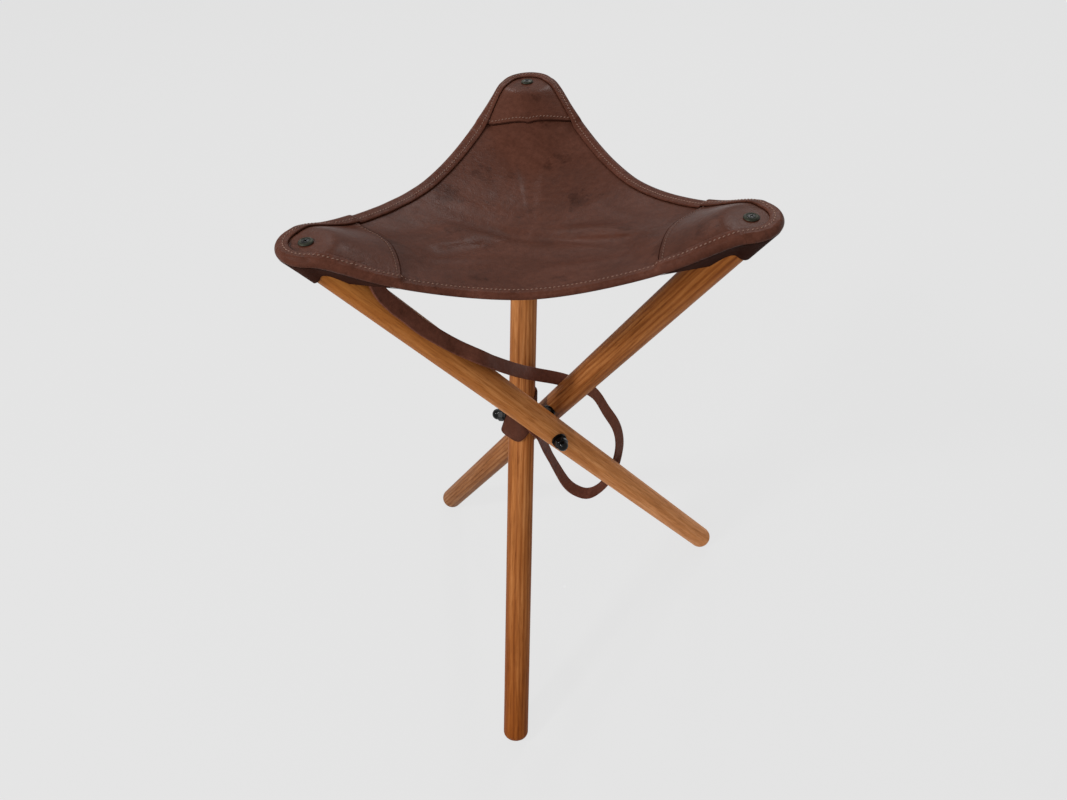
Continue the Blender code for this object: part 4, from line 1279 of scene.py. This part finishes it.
stitch_count = 0
for corner in range(3):
    sections = [[(BINDING_SEAM, binding_top(corner, v) + SEAM_LIFT)] for _, _, v in stations]
    points, normals = along_edge(corner, stations, sections)
    seam_rows = np.array([v for _, _, v in stations])
    stitch_count += sew("edge_seam", corner, points[:, 0], normals[:, 0], seam_rows, thread)
    seam_rows = patch_edge(corner, SEAM_COLUMNS) + PATCH_SEAM
    plan = lattice(corner, seam_rows, SEAM_COLUMNS, PATCH_INSET)
    points, normals = on_hide(plan, np.full(len(SEAM_COLUMNS), PATCH_TOP + SEAM_LIFT / 2))
    finish = thread if LEGS[corner] == "c" else brown_thread
    stitch_count += sew("patch_seam", corner, points, normals, seam_rows, finish)
print("stitches", stitch_count)

# %% [markdown]
# ## The corner screws
# Each corner is held by a black screw in an old bronze cup washer. Both are lathe shapes. The cup is a thin
# rim that rises to a lip, and the screw has a low crown. A cross is cut into the crown with a boolean, the
# plainest way to sink a sharp recess into a round shape.

# %% Drive the corner screws
CUP_RADIUS = 0.0059
CUP_HEIGHT = 0.0015
SCREW_HEAD = 0.0033
CROSS_LENGTH = 0.0036
CROSS_WIDTH = 0.0008
CROSS_DEPTH = 0.0008
LATHE_SIDES = 72
CUP_LIFT = CORNER_HEIGHT + PATCH_TOP + 2 * GAP
SCREW_TURN = 0.4
CUT_ANGLE = math.radians(30)
LATHE_ANGLE = math.radians(38)


def cross_cutter(top):
    """Two crossed bars that cut the driver's recess."""
    work = bmesh.new()
    size = Matrix.Diagonal((CROSS_LENGTH, CROSS_WIDTH, 2 * CROSS_DEPTH, 1))
    for turn in (0, math.pi / 2):
        bar = bmesh.ops.create_cube(work, size=1.0)["verts"]
        place = Matrix.Translation((0, 0, top)) @ Matrix.Rotation(turn, 4, "Z")
        bmesh.ops.transform(work, verts=bar, matrix=place @ size)
    mesh = bpy.data.meshes.new("cross_cutter")
    work.to_mesh(mesh)
    work.free()
    return in_scene("cross_cutter", mesh)


def cut_away(thing, cutter):
    change = thing.modifiers.new("cut", "BOOLEAN")
    change.operation = "DIFFERENCE"
    change.solver = "EXACT"
    change.use_self = True
    change.object = cutter
    graph = bpy.context.evaluated_depsgraph_get()
    mesh = bpy.data.meshes.new_from_object(thing.evaluated_get(graph))
    thing.modifiers.remove(change)
    thing.data = mesh
    bpy.data.objects.remove(cutter, do_unlink=True)
    mesh.shade_smooth()
    mesh.set_sharp_from_angle(angle=CUT_ANGLE)


def lathed(name, profile, material):
    work = bmesh.new()
    rows = [[work.verts.new(point) for point in ring] for ring in lathe(profile, LATHE_SIDES)]
    for near, far in zip(rows, rows[1:] + rows[:1]):
        for i in range(LATHE_SIDES):
            j = (i + 1) % LATHE_SIDES
            work.faces.new((near[i], near[j], far[j], far[i]))
    bmesh.ops.recalc_face_normals(work, faces=work.faces)
    mesh = bpy.data.meshes.new(name)
    work.to_mesh(mesh)
    work.free()
    mesh.shade_smooth()
    mesh.set_sharp_from_angle(angle=LATHE_ANGLE)
    mesh.materials.append(material)
    return in_scene(name, mesh)


CUP_PROFILE = [
    (0.0024, 0.0), (CUP_RADIUS - 0.0002, 0.0), (CUP_RADIUS, 0.0002), (CUP_RADIUS - 0.0001, 0.0005),
    (0.0051, 0.0011), (0.0045, CUP_HEIGHT - 0.0001), (0.0041, CUP_HEIGHT), (0.0037, CUP_HEIGHT - 0.0002),
    (0.0024, 0.0005),
]
SCREW_PROFILE = [
    (0.0003, -0.020), (0.0021, -0.016), (0.0021, 0.0003), (SCREW_HEAD, CUP_HEIGHT - 0.0006),
    (SCREW_HEAD, CUP_HEIGHT - 0.0004), (SCREW_HEAD * 0.86, CUP_HEIGHT - 0.0002),
    (SCREW_HEAD * 0.55, CUP_HEIGHT - 0.0001), (0.0003, CUP_HEIGHT),
]
for corner, azimuth in enumerate(AZIMUTHS):
    leg = LEGS[corner]
    spot = leg_frame(azimuth) @ Matrix.Translation((SCREW_OUT, PIVOT_OFFSET, CUP_LIFT))
    cup = lathed(f"bronze_cup_{leg}", CUP_PROFILE, bronze)
    screw = lathed(f"black_screw_{leg}", SCREW_PROFILE, steel)
    cut_away(screw, cross_cutter(CUP_HEIGHT))
    for thing, node, slot in ((cup, "cup_washer", "dark_bronze"), (screw, "corner_screw", "black_steel")):
        thing.matrix_world = spot @ Matrix.Rotation(SCREW_TURN + corner, 4, "Z")
        dress(thing, f"{node}_{leg}")
        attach(thing, f"leg_{leg}")
print("screws stand", round(SCREW_OUT * 1000, 1), "mm out along each leg")

# %% [markdown]
# ## Floor and light
# The photograph is a plain studio shot on pale grey. A wide pale floor takes a soft shadow. A small key lamp
# from the upper left gives crisp highlights, a large weak fill stands in front, and two small lamps behind
# stand just where the waxed hide mirrors them beside its front corners, which gives it a soft sheen. The sky
# is an even pale grey, so the floor runs out into it almost without an edge.

# %% Set the floor and the lights
BACKGROUND = 0.80
SKY_LIGHT = 0.46
FLOOR_EVENNESS = 0.91
FLOOR_DARK = (0.55, 0.55, 0.55)
FLOOR_PALE = (0.57, 0.57, 0.57)
FLOOR_RADII = (0.002, 1.5, 6.0, 30.0)
FLOOR_SIDES = 48
LAMP_AIM = Vector((0, 0, 0.35))
LAMPS = {
    "key": ((-1.7, -1.3, 2.2), 0.4, 38),
    "fill": ((-0.5, -2.3, 1.7), 1.4, 19),
    "back_right": ((0.42, 2.28, 2.40), 0.30, 20),
    "back_left": ((-1.00, 2.34, 2.25), 0.30, 8),
}


def seen_directly(tree):
    """One for rays from the camera and for those that gloss or glass sends on, else nothing."""
    path = add(tree, "LightPath").outputs
    seen = path["Is Camera Ray"]
    for kind in ("Is Glossy Ray", "Is Transmission Ray"):
        seen = add(tree, "Math", {0: seen, 1: path[kind]}, operation="MAXIMUM").outputs[0]
    return seen


def make_floor():
    material, tree, shader, space = new_finish("pale_floor")
    dust = noise_on(tree, space, scale=3.0, detail=2.0)
    tree.links.new(ramp(tree, dust, [(0.3, FLOOR_DARK), (0.7, FLOOR_PALE)]), shader.inputs["Base Color"])
    shader.inputs["Roughness"].default_value = 0.9
    shader.inputs["Specular IOR Level"].default_value = 0.1
    even = add(tree, "Emission", {"Color": (BACKGROUND, BACKGROUND, BACKGROUND, 1), "Strength": 1.0})
    share = spread(tree, seen_directly(tree), 0.0, FLOOR_EVENNESS)
    both = add(tree, "MixShader", {0: share, 1: shader.outputs[0], 2: even.outputs[0]})
    tree.links.new(both.outputs[0], tree.nodes["Material Output"].inputs["Surface"])
    rings = lathe([(radius, 0.0) for radius in FLOOR_RADII], FLOOR_SIDES)
    skin = Skin().grid(rings, np.tile((0, 0, 1.0), (*rings.shape[:2], 1)), wrap=True)
    floor = skin.piece("studio_floor", material)
    floor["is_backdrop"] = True


def area_light(name, place, size, power):
    lamp = bpy.data.lights.new(name, "AREA")
    lamp.shape = "DISK"
    lamp.size = size
    lamp.energy = power
    thing = in_scene(name, lamp)
    thing.location = place
    thing.rotation_euler = (LAMP_AIM - Vector(place)).to_track_quat("-Z", "Y").to_euler()


def make_sky():
    world = bpy.data.worlds.new("studio_sky")
    world.use_nodes = True
    bpy.context.scene.world = world
    tree = world.node_tree
    level = spread(tree, seen_directly(tree), SKY_LIGHT, 1.0)
    sky = tree.nodes["Background"]
    sky.inputs["Color"].default_value = (BACKGROUND, BACKGROUND, BACKGROUND, 1)
    tree.links.new(level, sky.inputs["Strength"])


make_floor()
make_sky()
for name, (place, size, power) in LAMPS.items():
    area_light(name, place, size, power)
bpy.context.scene.view_settings.view_transform = "Standard"
print("sky level", BACKGROUND)

# %% [markdown]
# ## Sizes
# The box round everything that the dressed stool shows is measured and its size printed. The dressed stool
# has to stay inside the box of the imported model.

# %% Print the size of the dressed stool's box
low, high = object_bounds()
print("visual size in metres", [round(b - a, 4) for a, b in zip(low, high)])
